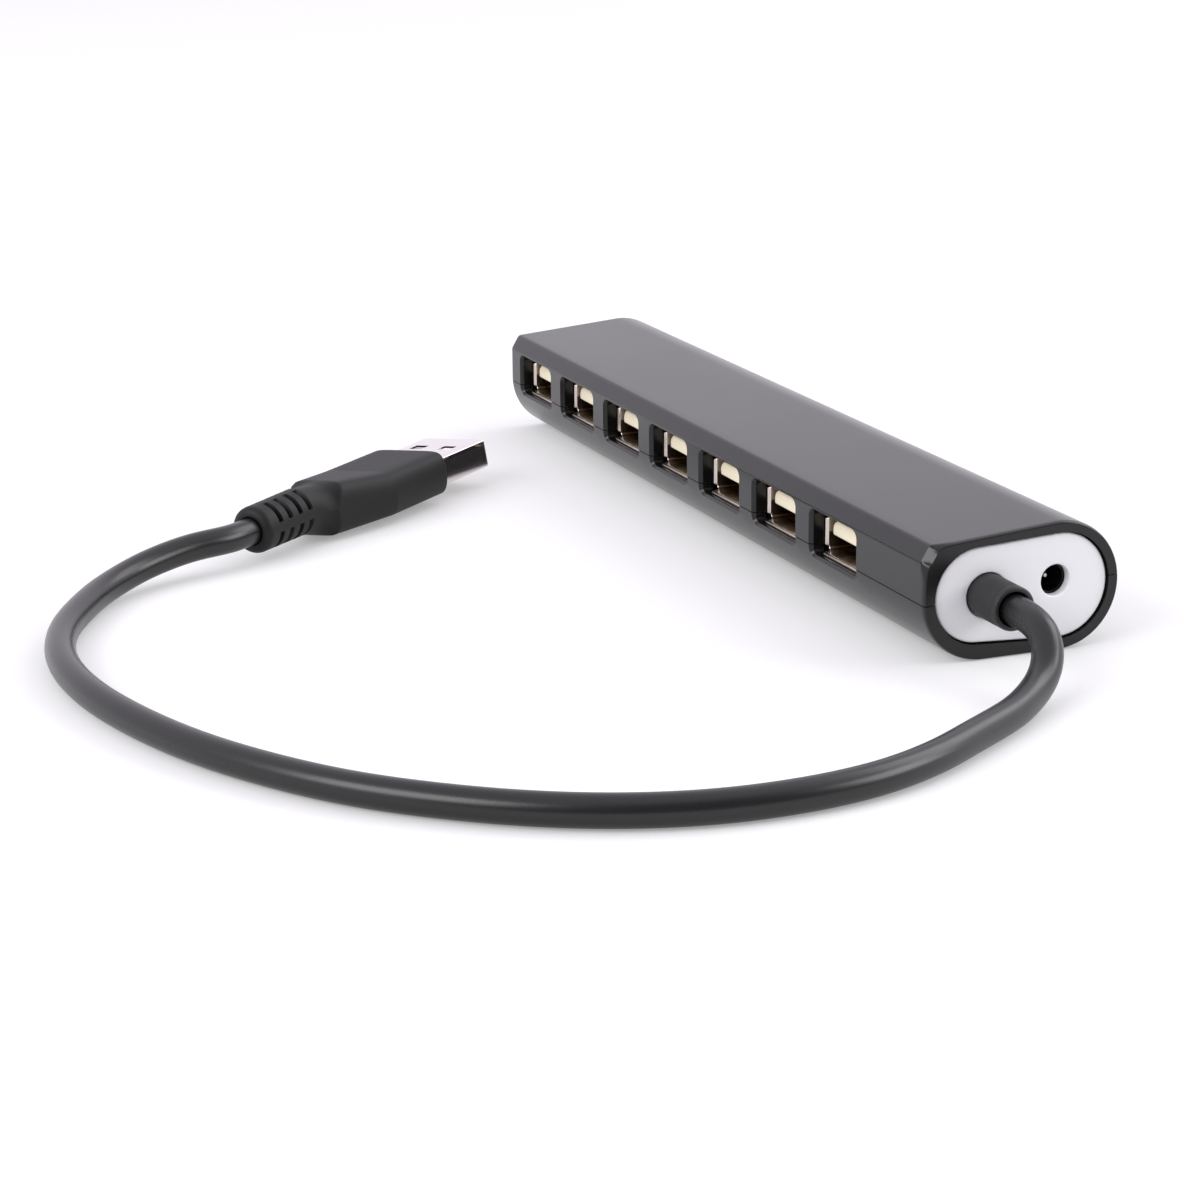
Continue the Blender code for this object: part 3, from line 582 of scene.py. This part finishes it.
plate = {"frontRadius": 6.6, "backRadius": 7.3, "frontInset": 8.4, "backInset": 9.05, "height": 9.05,
         "recess": 0.35, "gap": 0.18, "wall": 2.0, "fillet": 0.3, "edgeDepth": 1.3, "lip": 0.22,
         "jackInset": 9.6, "jackHeight": 9.8, "jackHole": 2.2, "jackWall": 1.4,
         "cableHole": 3.12, "cableWall": 2.6,
         "arcSteps": 40, "sideSteps": 9, "splitSteps": 17, "roundSteps": 5, "faceSteps": 5}
portX = case["near"] - window["lastFromEnd"] - window["pitch"] * np.arange(window["count"])[::-1]


def frontY(z):
    # front face, which rounds under below its tangent height
    radius = case["frontRound"]
    drop = np.clip(radius - np.asarray(z, float), 0, radius)
    return case["front"] + radius - np.sqrt(radius ** 2 - drop ** 2)


def topZ(y):
    # top plane, tangent to the back round and leaning toward the ports
    slope = math.radians(case["slope"])
    radius = case["height"] / 2
    touchY = case["back"] - radius - radius * math.sin(slope)
    return radius + radius * math.cos(slope) + (np.asarray(y, float) - touchY) * math.tan(slope)


chamferTop = np.array([case["front"] + case["chamferRun"], topZ(case["front"] + case["chamferRun"])])
chamferFoot = np.array([case["front"], chamferTop[1] - case["chamferDrop"]])
backRadius = case["height"] / 2
backCentre = np.array([case["back"] - backRadius, backRadius])


def windowLoops(seam, edge, outer, grow, growEdge):
    # half of a window's rounded edge in (s, z), grown, and the matching points on the border of its cell
    side = np.sign(outer - seam)
    half, corner, reach = window["width"] / 2, window["corner"], window["pitch"] / 2
    centreS, centreZ = half - corner, edge - side * corner
    rise = abs(outer - centreZ)
    turn = math.atan2(rise, reach - centreS)
    lowSteps, highSteps = window["cornerSteps"]
    angles = np.concatenate([np.linspace(0, turn, lowSteps), np.linspace(turn, np.pi / 2, highSteps)[1:]])
    legs = np.linspace(seam, centreZ, window["legSteps"])[:-1]
    innerLeg, outerLeg = (np.stack([np.full(len(legs), s), legs], axis=1) for s in (half + grow, reach))
    circle = np.stack([np.cos(angles), side * np.sin(angles)], axis=1)
    innerArc = np.array([centreS, centreZ]) + (corner + circle ** 2 @ (grow, growEdge))[:, None] * circle
    low = angles <= turn
    tangent = np.tan(np.clip(angles, 1e-6, np.pi / 2 - 1e-6))
    outerArc = np.stack([np.where(low, reach, centreS + rise / tangent),
                         np.where(low, centreZ + side * (reach - centreS) * tangent, outer)], axis=1)
    outerArc[lowSteps - 1] = (reach, outer)
    middle = np.linspace(centreS, -centreS, window["edgeSteps"])[1:-1]
    inner = np.concatenate([innerLeg, innerArc])
    border = np.concatenate([outerLeg, outerArc])
    mirror = np.array([-1.0, 1.0])
    levels = (edge + side * growEdge, outer)
    flat, rim = (np.stack([middle, np.full(len(middle), level)], axis=1) for level in levels)
    return (np.concatenate([inner, flat, inner[::-1] * mirror]),
            np.concatenate([border, rim, border[::-1] * mirror]))


def openingPoint(yz):
    # nearest point of the end plate's opening, a stadium with two unlike ends
    front = case["front"] + plate["frontInset"]
    back = case["back"] - plate["backInset"]
    y = np.clip(yz[:, 0], front, back)
    share = (y - front) / (back - front)
    radius = plate["gap"] + plate["frontRadius"] + (plate["backRadius"] - plate["frontRadius"]) * share
    centre = np.stack([y, np.full(len(y), plate["height"])], axis=1)
    way = yz - centre
    return centre + way / np.linalg.norm(way, axis=1, keepdims=True) * radius[:, None]


def windowCells(seam, edge, outer):
    # front face of each cell, the bevelled edge of its window and the wall behind it
    grow = np.array([window["growSide"], window["growTop"] if edge > seam else window["growFoot"]])
    first, border = windowLoops(seam, edge, outer, *grow[:, 0])
    flat = blendRows(border, first, window["cellRows"])
    shares, depths = np.array(window["profile"]).T
    rolled = [windowLoops(seam, edge, outer, *(grow @ (1 - share, share)))[0] for share in shares]
    loops = np.stack([*flat, *rolled, rolled[-1]])
    y = frontY(loops[..., 1])
    y[len(flat):-1] += window["bevel"] * depths[:, None]
    y[-1] = case["front"] + window["depth"]
    return [np.stack([x + loops[..., 0], y, loops[..., 1]], axis=-1) for x in portX], border


def upperRest():
    # foot fillet, chamfer, top fillet, leaning top and round back, and how far each point is on the chamfer
    slope = math.radians(case["slope"])
    seamEnd = math.asin((case["seamBack"] + case["seamGap"] / 2 - backRadius) / backRadius)
    roof = arcPoints(backCentre, backRadius, np.pi / 2 + slope, seamEnd, caseSteps["back"])
    footArc = filletPoints(np.array([case["front"], 0.0]), chamferFoot, chamferTop, case["footFillet"],
                           caseSteps["footArc"])
    topArc = filletPoints(chamferFoot, chamferTop, roof[0], case["topFillet"], caseSteps["topArc"])
    slant = np.linspace(footArc[-1], topArc[0], caseSteps["slant"])[1:-1]
    flat = np.linspace(topArc[-1], roof[0], caseSteps["top"])[1:-1]
    atFoot, atTop = case["cornerShare"]
    run = np.concatenate([np.linspace(atFoot, 1, len(footArc)), np.ones(len(slant)),
                          np.linspace(1, atTop, len(topArc)), np.zeros(len(flat) + len(roof))])
    return np.concatenate([footArc, slant, topArc, flat, roof]), run


def lowerRest():
    # round foot, flat underside and round back
    radius = case["frontRound"]
    start = np.pi + math.asin((radius - case["bandFoot"]) / radius)
    foot = arcPoints((case["front"] + radius, radius), radius, start, 1.5 * np.pi, caseSteps["roundFoot"])
    seamEnd = math.asin((case["seamBack"] - case["seamGap"] / 2 - backRadius) / backRadius)
    rear = arcPoints(backCentre, backRadius, -np.pi / 2, seamEnd, caseSteps["lowBack"])
    rest = np.concatenate([foot, np.linspace(foot[-1], rear[0], caseSteps["under"])[1:-1], rear])
    return rest, np.zeros(len(rest))


def farEnd(whole, inward):
    # the section rolls in by a quarter circle, then passes to the chord between its two ends
    radius = case["farRound"]
    rings = [placed(case["far"] + radius * (1 - math.sin(turn)),
                    insetCurve(whole, inward * radius * (1 - math.cos(turn))))
             for turn in np.linspace(0, np.pi / 2, caseSteps["farRound"])]
    last = rings[-1]
    chord = np.linspace(last[0], last[-1], len(last))
    return gridPatch(np.concatenate([np.stack(rings), blendRows(last, chord, case["capRows"])]))


def nearEnd(whole, run, inward, start):
    # the section rolls in by a quarter ellipse, or by a straight facet on the chamfer; then rim and opening
    rows = [placed(start, whole)]
    for share in np.linspace(0, 1, caseSteps["nearRound"]):
        turn = share * np.pi / 2
        back = (1 - run) * case["nearRun"] * (1 - math.sin(turn)) + run * case["cornerRun"] * (1 - share)
        inset = (1 - run) * case["nearBevel"] * (1 - math.cos(turn)) + run * case["cornerInset"] * share
        rows.append(placed(case["near"] - back, insetCurve(whole, inward * inset)))
    rim = rows[-1][:, 1:]
    hole = openingPoint(rim)
    rows += list(blendRows(placed(case["near"], rim), placed(case["near"], hole), case["rimRows"]))
    rows += [placed(case["near"] - depth, hole) for depth in (*case["holeRows"], plate["wall"])]
    return gridPatch(np.stack(rows))


def halfShell(name, node, upper):
    # window cells, then the section carried along X: strips beside the cells, the rest and the two ends
    side = 1 if upper else -1
    seam = case["seamFront"] + side * case["seamGap"] / 2
    rest, run = upperRest() if upper else lowerRest()
    outer = rest[0, 1]
    cells, border = windowCells(seam, window["top"] if upper else window["bottom"], outer)
    patches = [gridPatch(cell) for cell in cells]
    bandZ = border[np.isclose(border[:, 0], window["pitch"] / 2), 1]
    bandX = np.sort(border[np.isclose(border[:, 1], outer), 0])
    nearStart = case["near"] - case["cornerRun"] - case["nearMargin"]
    farX = np.linspace(case["far"] + case["farRound"], portX[0] - window["pitch"] / 2, caseSteps["farStrip"])
    nearX = np.linspace(portX[-1] + window["pitch"] / 2, nearStart, caseSteps["nearStrip"])
    allX = np.concatenate([farX[:-1], *[x + bandX[:-1] for x in portX], nearX])
    band = np.stack([frontY(bandZ), bandZ], axis=1)
    whole = np.concatenate([band[:-1], rest])
    low = run[0] * np.clip(1 - np.abs(band[:-1, 1] - outer) / case["cornerFoot"], 0, 1)
    run = np.concatenate([low, run])[:, None]
    for curve, places in ((rest, allX), (band, farX), (band, nearX)):
        patches.append(gridPatch(np.stack([placed(x, curve) for x in places])))
    patches += [farEnd(whole, -side), nearEnd(whole, run, -side, nearStart)]
    piece = buildPiece(name, inMetres(patches), looks["case"])
    thicken(piece, case["skin"] * mm)
    settle(piece, case["hardAngle"])
    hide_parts(node)


halfShell("case_top", "top_cover", True)
halfShell("case_bottom", "bottom_case", False)
print("case ready")


# white end plate with its two holes

def plateLoop(grow):
    # stadium with unlike ends, counter-clockwise, as its back half and its front half
    front = np.array([case["front"] + plate["frontInset"], plate["height"]])
    back = np.array([case["back"] - plate["backInset"], plate["height"]])
    lean = math.asin((plate["backRadius"] - plate["frontRadius"]) / (back[0] - front[0]))
    touch = np.pi / 2 + lean
    backArc = arcPoints(back, plate["backRadius"] + grow, -touch, touch, plate["arcSteps"])
    frontArc = arcPoints(front, plate["frontRadius"] + grow, touch, 2 * np.pi - touch, plate["arcSteps"])
    top = np.linspace(backArc[-1], frontArc[0], plate["sideSteps"])
    foot = np.linspace(frontArc[-1], backArc[0], plate["sideSteps"])
    half = plate["sideSteps"] // 2
    return (np.concatenate([foot[half:-1], backArc, top[1:half + 1]]),
            np.concatenate([top[half:-1], frontArc, foot[1:half + 1]]))


def makePlate():
    # face round each hole, rolled lips, hole walls and the rolled outer edge
    front = case["near"] - plate["recess"]
    fillet, lip = plate["fillet"], plate["lip"]
    turns = np.linspace(0, np.pi / 2, plate["roundSteps"])
    patches = []
    faceBack, faceFront = plateLoop(-fillet)
    middle = np.linspace(faceBack[-1], faceBack[0], plate["splitSteps"])[1:-1]
    holes = (
        ((case["back"] - plate["jackInset"], plate["jackHeight"]), plate["jackHole"], plate["jackWall"],
         np.concatenate([faceBack, middle])),
        ((cable["y"], cable["z"]), plate["cableHole"], plate["cableWall"],
         np.concatenate([faceFront, middle[::-1]])),
    )
    for centre, radius, depth, loop in holes:
        way = loop - np.array(centre)
        way /= np.linalg.norm(way, axis=1, keepdims=True)
        edge = np.array(centre) + way * (radius + lip)
        shares = np.linspace(0, 1, plate["faceSteps"])
        rows = list(blendRows(placed(front, loop), placed(front, edge), shares))
        rows += [placed(front - lip * (1 - math.cos(turn)),
                        np.array(centre) + way * (radius + lip * (1 - math.sin(turn)))) for turn in turns[1:]]
        rows += [placed(front - reach, np.array(centre) + way * radius) for reach in (depth / 2, depth)]
        patches.append(gridPatch(np.stack(rows), True))
    rows = []
    for turn in turns:
        both = plateLoop(-fillet * (1 - math.sin(turn)))
        outline = np.concatenate([half[:-1] for half in both])
        rows.append(placed(front - fillet * (1 - math.cos(turn)), outline))
    rows.append(rows[-1] - np.array([plate["edgeDepth"], 0.0, 0.0]))
    patches.append(gridPatch(np.stack(rows), True))
    piece = buildPiece("white_plate", inMetres(patches), looks["plate"])
    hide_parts("end_plate")


makePlate()
print("end plate ready")


# collar round the cable

collar = {"radius": 3.05, "reach": 7.0, "bore": 2.35, "boreDepth": 3.0, "boreRound": 0.15, "rim": 0.35,
          "inside": 3.6, "groove": (1.3, 1.15, 1.0), "grooveDepth": 0.06,  # the groove's places from the end
          "roundSteps": 6, "sides": 64}


def lathePoints(profile, centre, sides):
    # (x, radius) pairs turned about the X direction through centre
    profile = np.asarray(profile, float)
    angle = np.linspace(0, 2 * np.pi, sides, endpoint=False)
    x = np.broadcast_to(profile[:, :1], (len(profile), sides))
    y = centre[0] + profile[:, 1:] * np.cos(angle)
    z = centre[1] + profile[:, 1:] * np.sin(angle)
    return np.stack([x, y, z], axis=-1)


def makeCollar():
    # turned profile: a plain barrel, a ring groove, the rolled rim and the bore
    values = collar
    end = case["near"] + values["reach"]
    radius, rim, bore = values["radius"], values["rim"], values["bore"]
    turns = np.linspace(0, np.pi / 2, values["roundSteps"])
    profile = [(case["near"] - values["inside"], radius), (case["near"] - plate["recess"], radius)]
    start, middle, stop = values["groove"]
    profile += [(end - start, radius), (end - middle, radius - values["grooveDepth"]), (end - stop, radius)]
    profile += [(end - rim + rim * math.sin(a), radius - rim + rim * math.cos(a)) for a in turns]
    roll = values["boreRound"]
    profile += [(end - roll + roll * math.cos(a), bore + roll - roll * math.sin(a)) for a in turns]
    profile += [(end - values["boreDepth"], bore), (end - values["boreDepth"], 0.0)]
    points = lathePoints(profile, (cable["y"], cable["z"]), values["sides"]) * mm
    piece = buildPiece("cable_collar_ring", [gridPatch(points, True)], looks["collar"])
    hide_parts("cable_collar")
    return piece


collarPiece = makeCollar()
print("collar ready")


# ports: shell, tongue and contacts for each window

port = {
    "mouth": 2.3, "depth": 13.7, "width": 12.5, "height": 5.12, "corner": 0.5, "sheet": 0.3, "edge": 0.04,
    "straight": 2.0, "lip": 0.45, "lipDepth": 0.32, "longLip": 0.14, "notch": 0.4, "reach": 0.95,
    "flapDepth": 1.0, "cornerSteps": 5, "onSides": (0.04, 0.35, 0.65, 0.96), "hardAngle": 35,
}
tongue = {"width": 11.1, "thick": 2.2, "drop": 0.55, "setback": 0.4, "noseRound": 0.7, "noseThin": 0.2,
          "edge": 0.12, "cutWide": 1.75, "cutTall": 1.3, "cutSteps": 7, "heel": 3.0, "heelGap": 0.6,
          "heelCorner": 0.3, "heelSteps": 4, "overlap": 0.3, "noseRows": (0.0, 0.06, 0.2, 0.4), "face": 0.9}
contact = {"places": (-3.5, -1.0, 1.0, 3.5), "width": 1.0, "thick": 0.12, "start": 0.9, "short": 0.6,
           "gap": 0.06, "crest": 0.32, "crestPlace": 0.22, "crestSpread": 0.12, "steps": 24}
spring = {"places": (-3.4, 3.4), "start": 2.2, "length": 6.0, "foot": 0.04, "crest": 0.62, "crestPower": 1.5,
          "half": 0.9, "narrow": 0.25, "thick": 0.15, "steps": 18}
portZ = (window["bottom"] + window["top"]) / 2
mouthY = case["front"] + port["mouth"]
portEnd = mouthY + port["depth"]
tongueTop = portZ + port["height"] / 2 - tongue["drop"]
tongueFoot = tongueTop - tongue["thick"]
tongueNose = mouthY + tongue["setback"]
heelFront = portEnd - tongue["heel"]


def shellPatches(x):
    # folded sheet: outside from back to mouth, the flaps, then inside to the back; leaf springs
    # the flaps of the short sides flare out, that of the lower side reaches forward
    loop, normals, onSide = roundedLoop(port["width"], port["height"], port["corner"],
                                        port["cornerSteps"], port["onSides"])
    sheet, deep, edge, straight = (port[key] for key in ("sheet", "lipDepth", "edge", "straight"))
    # distance from the mouth, height above the inner face, share of the flare
    steps = ((port["depth"], sheet, 0.0), (straight, sheet, 0.0), (deep, sheet, 0.05), (deep / 3, sheet, 0.8),
             (edge, sheet, 1.0), (0.0, sheet - edge, 1.0), (0.0, edge, 1.0), (0.05, 0.0, 0.95),
             (deep / 2, 0.0, 0.4), (deep, 0.0, 0.0), (straight, 0.0, 0.0), (port["depth"], 0.0, 0.0))
    short = np.abs(normals[:, 0])
    flap = onSide * (port["longLip"] + (port["lip"] - port["longLip"]) * short)
    below = np.isclose(normals[:, 1], -1.0)
    shift = port["notch"] * (1 - onSide) - port["reach"] * onSide * below
    rows = []
    for back, wall, flare in steps:
        ring = loop + normals * (wall + flare * flap)[:, None]
        y = mouthY + back + shift * (back < port["flapDepth"])
        rows.append(np.stack([x + ring[:, 0], y, portZ + ring[:, 1]], axis=1))
    patches = [gridPatch(np.stack(rows), True)]
    for level, lift in ((portZ - port["height"] / 2, 1), (portZ + port["height"] / 2, -1)):
        patches += [gridPatch(springPoints(x + offset, level, lift), True) for offset in spring["places"]]
    return patches


def tonguePatches(x):
    # tongue: a section with two cut upper corners along Y, rolled at its nose; heel: a block at the back
    half, nose, tall = tongue["width"] / 2, tongue["noseRound"], tongue["thick"] / 2
    edge, cut = tongue["edge"], (tongue["cutWide"], tongue["cutTall"])
    turn = np.linspace(0, np.pi / 2, tongue["cutSteps"])[1:]
    cutRight = np.stack([np.cos(turn) - 1, np.sin(turn) - 1], axis=1) * cut + (0.0, tall)
    right = np.concatenate([[(-edge, -tall), (0.0, edge - tall), (0.0, tall - cut[1])], cutRight])
    middleZ = (tongueTop + tongueFoot) / 2
    rows = []
    for back in (*tongue["noseRows"], nose, heelFront - tongueNose + tongue["overlap"]):
        near = max(0.0, nose - back)
        wide = half - nose + math.sqrt(nose ** 2 - near ** 2)
        thin = max(0.0, tongue["noseThin"] - back)
        outline = np.concatenate([right + (wide, 0.0), (right * (-1, 1) - (wide, 0.0))[::-1]]) * (1, 1 - thin)
        y = np.full(len(outline), tongueNose + back)
        rows.append(np.stack([outline[:, 0] + x, y, middleZ + outline[:, 1]], axis=1))
    face = blendRows(np.broadcast_to(rows[0].mean(0), rows[0].shape), rows[0], (0.0, tongue["face"]))
    patches = [gridPatch(np.concatenate([face, np.stack(rows)]), True)]
    gap = tongue["heelGap"]
    wide, tall = port["width"] - gap, port["height"] - gap
    loop = roundedLoop(wide, tall, tongue["heelCorner"], tongue["heelSteps"])[0]
    rows = [np.stack([x + loop[:, 0] * size, np.full(len(loop), y), portZ + loop[:, 1] * size], axis=1)
            for size, y in ((0.0, heelFront), (1.0, heelFront), (1.0, portEnd), (0.0, portEnd))]
    return patches + [gridPatch(np.stack(rows), True)]


def contactPatches(x):
    # four sprung strips under the tongue, each with a bell-shaped crest near its nose
    s = np.linspace(0, 1, contact["steps"])
    y = tongueNose + contact["start"] + s * (heelFront - tongueNose - contact["short"])
    crest = np.exp(-((s - contact["crestPlace"]) / contact["crestSpread"]) ** 2)
    z = tongueFoot - contact["gap"] - contact["crest"] * crest
    half, thick = contact["width"] / 2, contact["thick"]
    loop = ((-half, 0.0), (half, 0.0), (half, -thick), (-half, -thick))
    strips = [[np.stack([np.full(len(s), x + offset + u), y, z + v], axis=1) for u, v in loop]
              for offset in contact["places"]]
    return [gridPatch(np.stack(strip, axis=1), True) for strip in strips]


def springPoints(x, level, lift):
    # leaf pressed from the wall: rises to a crest and falls back as a power of a half sine
    s = np.linspace(0, 1, spring["steps"])
    y = mouthY + spring["start"] + s * spring["length"]
    z = level + lift * (spring["foot"] + spring["crest"] * np.sin(np.pi * s) ** spring["crestPower"])
    width = spring["half"] - spring["narrow"] * s
    loop = ((-1, 0.0), (1, 0.0), (1, spring["thick"]), (-1, spring["thick"]))
    return np.stack([np.stack([x + u * width, y, z + lift * v], axis=1) for u, v in loop], axis=1)


def makePorts():
    # shell, tongue and contacts at each window
    kinds = (("port_shell", "usb_port_shell", shellPatches, "shell", "bright_metal"),
             ("port_tongue", "usb_port_tongue", tonguePatches, "cream", "cream_plastic"),
             ("port_contacts", None, contactPatches, "gold", "bright_metal"))
    for number, x in enumerate(portX, 1):
        for name, node, makePatches, look, slot in kinds:
            piece = buildPiece(f"{name}_{number}", inMetres(makePatches(x)), looks[look])
            settle(piece, port["hardAngle"])
            if node:
                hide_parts(f"{node}_{number}")


makePorts()
print("ports ready")


# plug: boot with slotted strain relief, and its metal shell

boot = {
    "straight": 15.0, "taper": 12.5, "shoulder": 4.6, "relief": 12.1, "width": 14.6, "height": 7.2,
    "chamfer": 1.1, "edgePower": 12, "neckWidth": 9.6, "neckHeight": 8.4, "neckLift": 0.55, "topCut": 2.2,
    "hollow": 3.2, "frontRound": 0.6, "reliefRadius": 3.7, "endRadius": 3.6, "endRound": 1.25, "slots": 4,
    "slotPitch": 2.55, "slotFirst": 3.4, "slotWidth": 0.95, "slotDepth": 1.15, "slotSpan": 33.0,
    "slotEdge": (0.12, 0.06), "slotEndEdge": (3.0, 1.0),  # how far edges roll in and out, mm and degrees
    "bore": 2.16, "boreDepth": 1.2, "boreRound": 0.12, "hardAngle": 40,
    "seat": (6.06, 2.31), "seatPower": 14, "seatDepth": 1.2,  # the pocket for the metal shell, half sizes
    # points round the boot, spacing of its rows on the relief, half width of the crease, and counts of rows
    "sides": 256, "rowStep": 0.1, "creaseHalf": 0.3, "roundRows": 9, "shoulderRows": 30, "taperRows": 30,
    "creaseRows": 7, "blockRows": 20, "faceRows": (0.06, 0.5, 0.94, 1.0),
}
plugShell = {"width": 12.0, "height": 4.5, "reach": 13.7, "inside": 1.0, "sheet": 0.3, "corner": 0.35,
             "lean": 5.2, "hole": 2.4, "holeSpread": 5.6, "holeSetback": 6.4, "hardAngle": 50,
             "rows": (5, 4, 5), "cornerSteps": 6}  # rows behind, beside and before the holes


def smoothStep(x, start, end):
    # 0 before start, 1 after end, and 3t^2 - 2t^3 between
    t = np.clip((x - start) / (end - start), 0, 1)
    return t * t * (3 - 2 * t)


def quarterRound(distance, radius):
    # inset of a rolled edge: r - sqrt(r^2 - (r - d)^2) at the distance d from its end, 0 past the radius
    inside = np.clip(radius - distance, 0, radius)
    return radius - np.sqrt(radius ** 2 - inside ** 2)


def bootRows(end, throat, neck, crease):
    # places along the plug: rolled end, relief, shoulder, taper, crease, straight block and rolled front
    values = boot
    rolled, front, step, sharp = (values[key] for key in ("endRound", "frontRound", "rowStep", "creaseHalf"))
    turns = np.linspace(0, np.pi / 2, values["roundRows"])
    return np.concatenate([
        end + rolled * (1 - np.cos(turns)), np.arange(end + rolled + step, throat, step),
        np.linspace(throat, neck, values["shoulderRows"]),
        np.linspace(neck, crease - (sharp + step), values["taperRows"])[1:],
        np.linspace(crease - sharp, crease + sharp, values["creaseRows"]),
        np.linspace(crease + (sharp + step), -front, values["blockRows"]),
        -front + front * np.sin(turns)[1:],
    ])


def slotDepths(x, angle, end):
    # slots in the relief: the depth times a smooth step along the plug times a smooth step around it
    values = boot
    slotX = end + values["slotFirst"] + values["slotPitch"] * np.arange(values["slots"])
    nearest = np.abs(x[:, None] - slotX[None]).min(1)
    half, (inward, outward) = values["slotWidth"] / 2, values["slotEdge"]
    across = 1 - smoothStep(nearest, half - inward, half + outward)
    offset = np.degrees(np.abs((angle % (np.pi / 2)) - np.pi / 4))  # from the nearest diagonal
    span, (inward, outward) = values["slotSpan"], values["slotEndEdge"]
    around = 1 - smoothStep(offset, span - inward, span + outward)
    return values["slotDepth"] * across[:, None] * around[None]


def makeBoot():
    # polar grid about the plug's axis: the radius passes from a round relief, less its slots, to a block
    # whose chamfered section is a sum of powers; the centre lifts toward the relief
    values = boot
    crease = -values["straight"]
    neck = crease - values["taper"]
    throat = neck - values["shoulder"]
    end = throat - values["relief"]
    x = bootRows(end, throat, neck, crease)
    sides = values["sides"]
    angle = np.linspace(0, 2 * np.pi, sides, endpoint=False)
    cos, sin = np.cos(angle)[None], np.sin(angle)[None]
    trim = quarterRound(-x, values["frontRound"])
    wide = (np.interp(x, [neck, crease], [values["neckWidth"] / 2, values["width"] / 2]) - trim)[:, None]
    tall = (np.interp(x, [neck, crease], [values["neckHeight"] / 2, values["height"] / 2]) - trim)[:, None]
    power = values["edgePower"]
    block = ((np.abs(cos) / wide) ** power + (np.abs(sin) / tall) ** power
             + ((np.abs(cos) + np.abs(sin)) / (wide + tall - values["chamfer"])) ** power) ** (-1 / power)
    tube = np.interp(x, [end, throat], [values["endRadius"], values["reliefRadius"]])
    tube = tube - quarterRound(x - end, values["endRound"])
    # the hollow between relief and block ends in a crisp edge, which stands farther forward on top
    blockEnd = neck + values["topCut"] * np.clip(sin, 0, 1)
    share = np.clip((x[:, None] - throat) / (blockEnd - throat), 0, 1) ** values["hollow"]
    radius = tube[:, None] * (1 - share) + block * share - slotDepths(x, angle, end)
    lift = np.interp(x, [throat, neck, crease], [plugPose["lift"], values["neckLift"], 0.0])[:, None]
    skin = np.stack([np.broadcast_to(x[:, None], radius.shape), radius * cos, radius * sin + lift], axis=-1)
    (seatWide, seatTall), square = values["seat"], values["seatPower"]
    seat = ((np.abs(cos) / seatWide) ** square + (np.abs(sin) / seatTall) ** square)[0] ** (-1 / square)
    socket = [np.stack([np.full(sides, -depth), seat * cos[0], seat * sin[0]], axis=-1)
              for depth in (0.0, values["seatDepth"])]
    face = blendRows(skin[-1], socket[0], values["faceRows"])
    hole, roll = values["bore"], values["boreRound"]
    bore = [np.stack([np.full(sides, end + depth), size * cos[0], size * sin[0] + plugPose["lift"]], axis=-1)
            for size, depth in ((hole, values["boreDepth"]), (hole, roll), (hole + roll, 0.0))]
    points, quads = gridPatch(np.concatenate([np.stack(bore), skin, face, socket[1][None]]), True)
    piece = buildPiece("plug_boot", [(onPlug(points), quads)], looks["boot"])
    settle(piece, values["hardAngle"])
    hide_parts("plug_overmould")
    return piece


def makePlugShell():
    # folded sheet tube; grid lines follow the square holes, whose faces are left out
    values = plugShell
    half, spread = values["hole"] / 2, values["holeSpread"] / 2
    setback = values["reach"] - values["holeSetback"]
    edges = (-values["inside"], setback - half, setback + half, values["reach"])
    x = np.unique(np.concatenate([np.linspace(start, end, count) for start, end, count
                                  in zip(edges, edges[1:], values["rows"])]))
    corner, steps, tall = values["corner"], values["cornerSteps"], values["height"] / 2
    flat, high = values["width"] / 2 - corner, tall - corner
    stops = np.unique([-flat, flat, 0.0, -spread - half, -spread + half, spread - half, spread + half])
    right = arcPoints((flat, high), corner, np.pi / 2, 0, steps)[1:]
    rightLow = arcPoints((flat, -high), corner, 0, -np.pi / 2, steps)[:-1]
    upper = np.stack([stops, np.full(len(stops), tall)], axis=1)
    lower = np.stack([stops[::-1], np.full(len(stops), -tall)], axis=1)
    left = arcPoints((-flat, -high), corner, -np.pi / 2, -np.pi, steps)[1:]
    leftHigh = arcPoints((-flat, high), corner, np.pi, np.pi / 2, steps)[:-1]
    loop = np.concatenate([upper, right, rightLow, lower, left, leftHigh])
    lean = math.tan(math.radians(values["lean"])) * 2 / values["width"]
    loop[:, 0] *= 1 - lean * loop[:, 1]  # the side walls lean in a little toward the top
    points = np.stack([placed(value, loop) for value in x])
    vertices, quads = gridPatch(points, True)
    middle = vertices[quads].mean(1)
    hole = (np.abs(middle[:, 0] - setback) < half) & (np.abs(np.abs(middle[:, 1]) - spread) < half)
    hole &= np.abs(middle[:, 2]) > high  # only the upper and lower face
    piece = buildPiece("plug_metal_shell", [(onPlug(vertices), quads[~hole])], looks["plugMetal"])
    thicken(piece, values["sheet"] * mm)
    settle(piece, values["hardAngle"])
    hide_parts("plug_shell")
    return piece


bootPiece = makeBoot()
shellPiece = makePlugShell()
print("plug ready")


# finishes of the CAD nodes that stay

stayLooks = {
    "main_board": "board", "dc_jack_body": "jack", "dc_jack_pin": "tin", "dc_jack_spring": "gold",
    "hub_controller": "chip", "crystal": "tin", "voltage_regulator": "chip", "capacitor_1": "sleeve",
    "capacitor_2": "sleeve", "cable_tail": "cable", "plug_insulator": "insulator",
    **{name: name for name in wireTones},
}
for node, look in stayLooks.items():
    nodes[node].data.materials.clear()
    nodes[node].data.materials.append(looks[look])
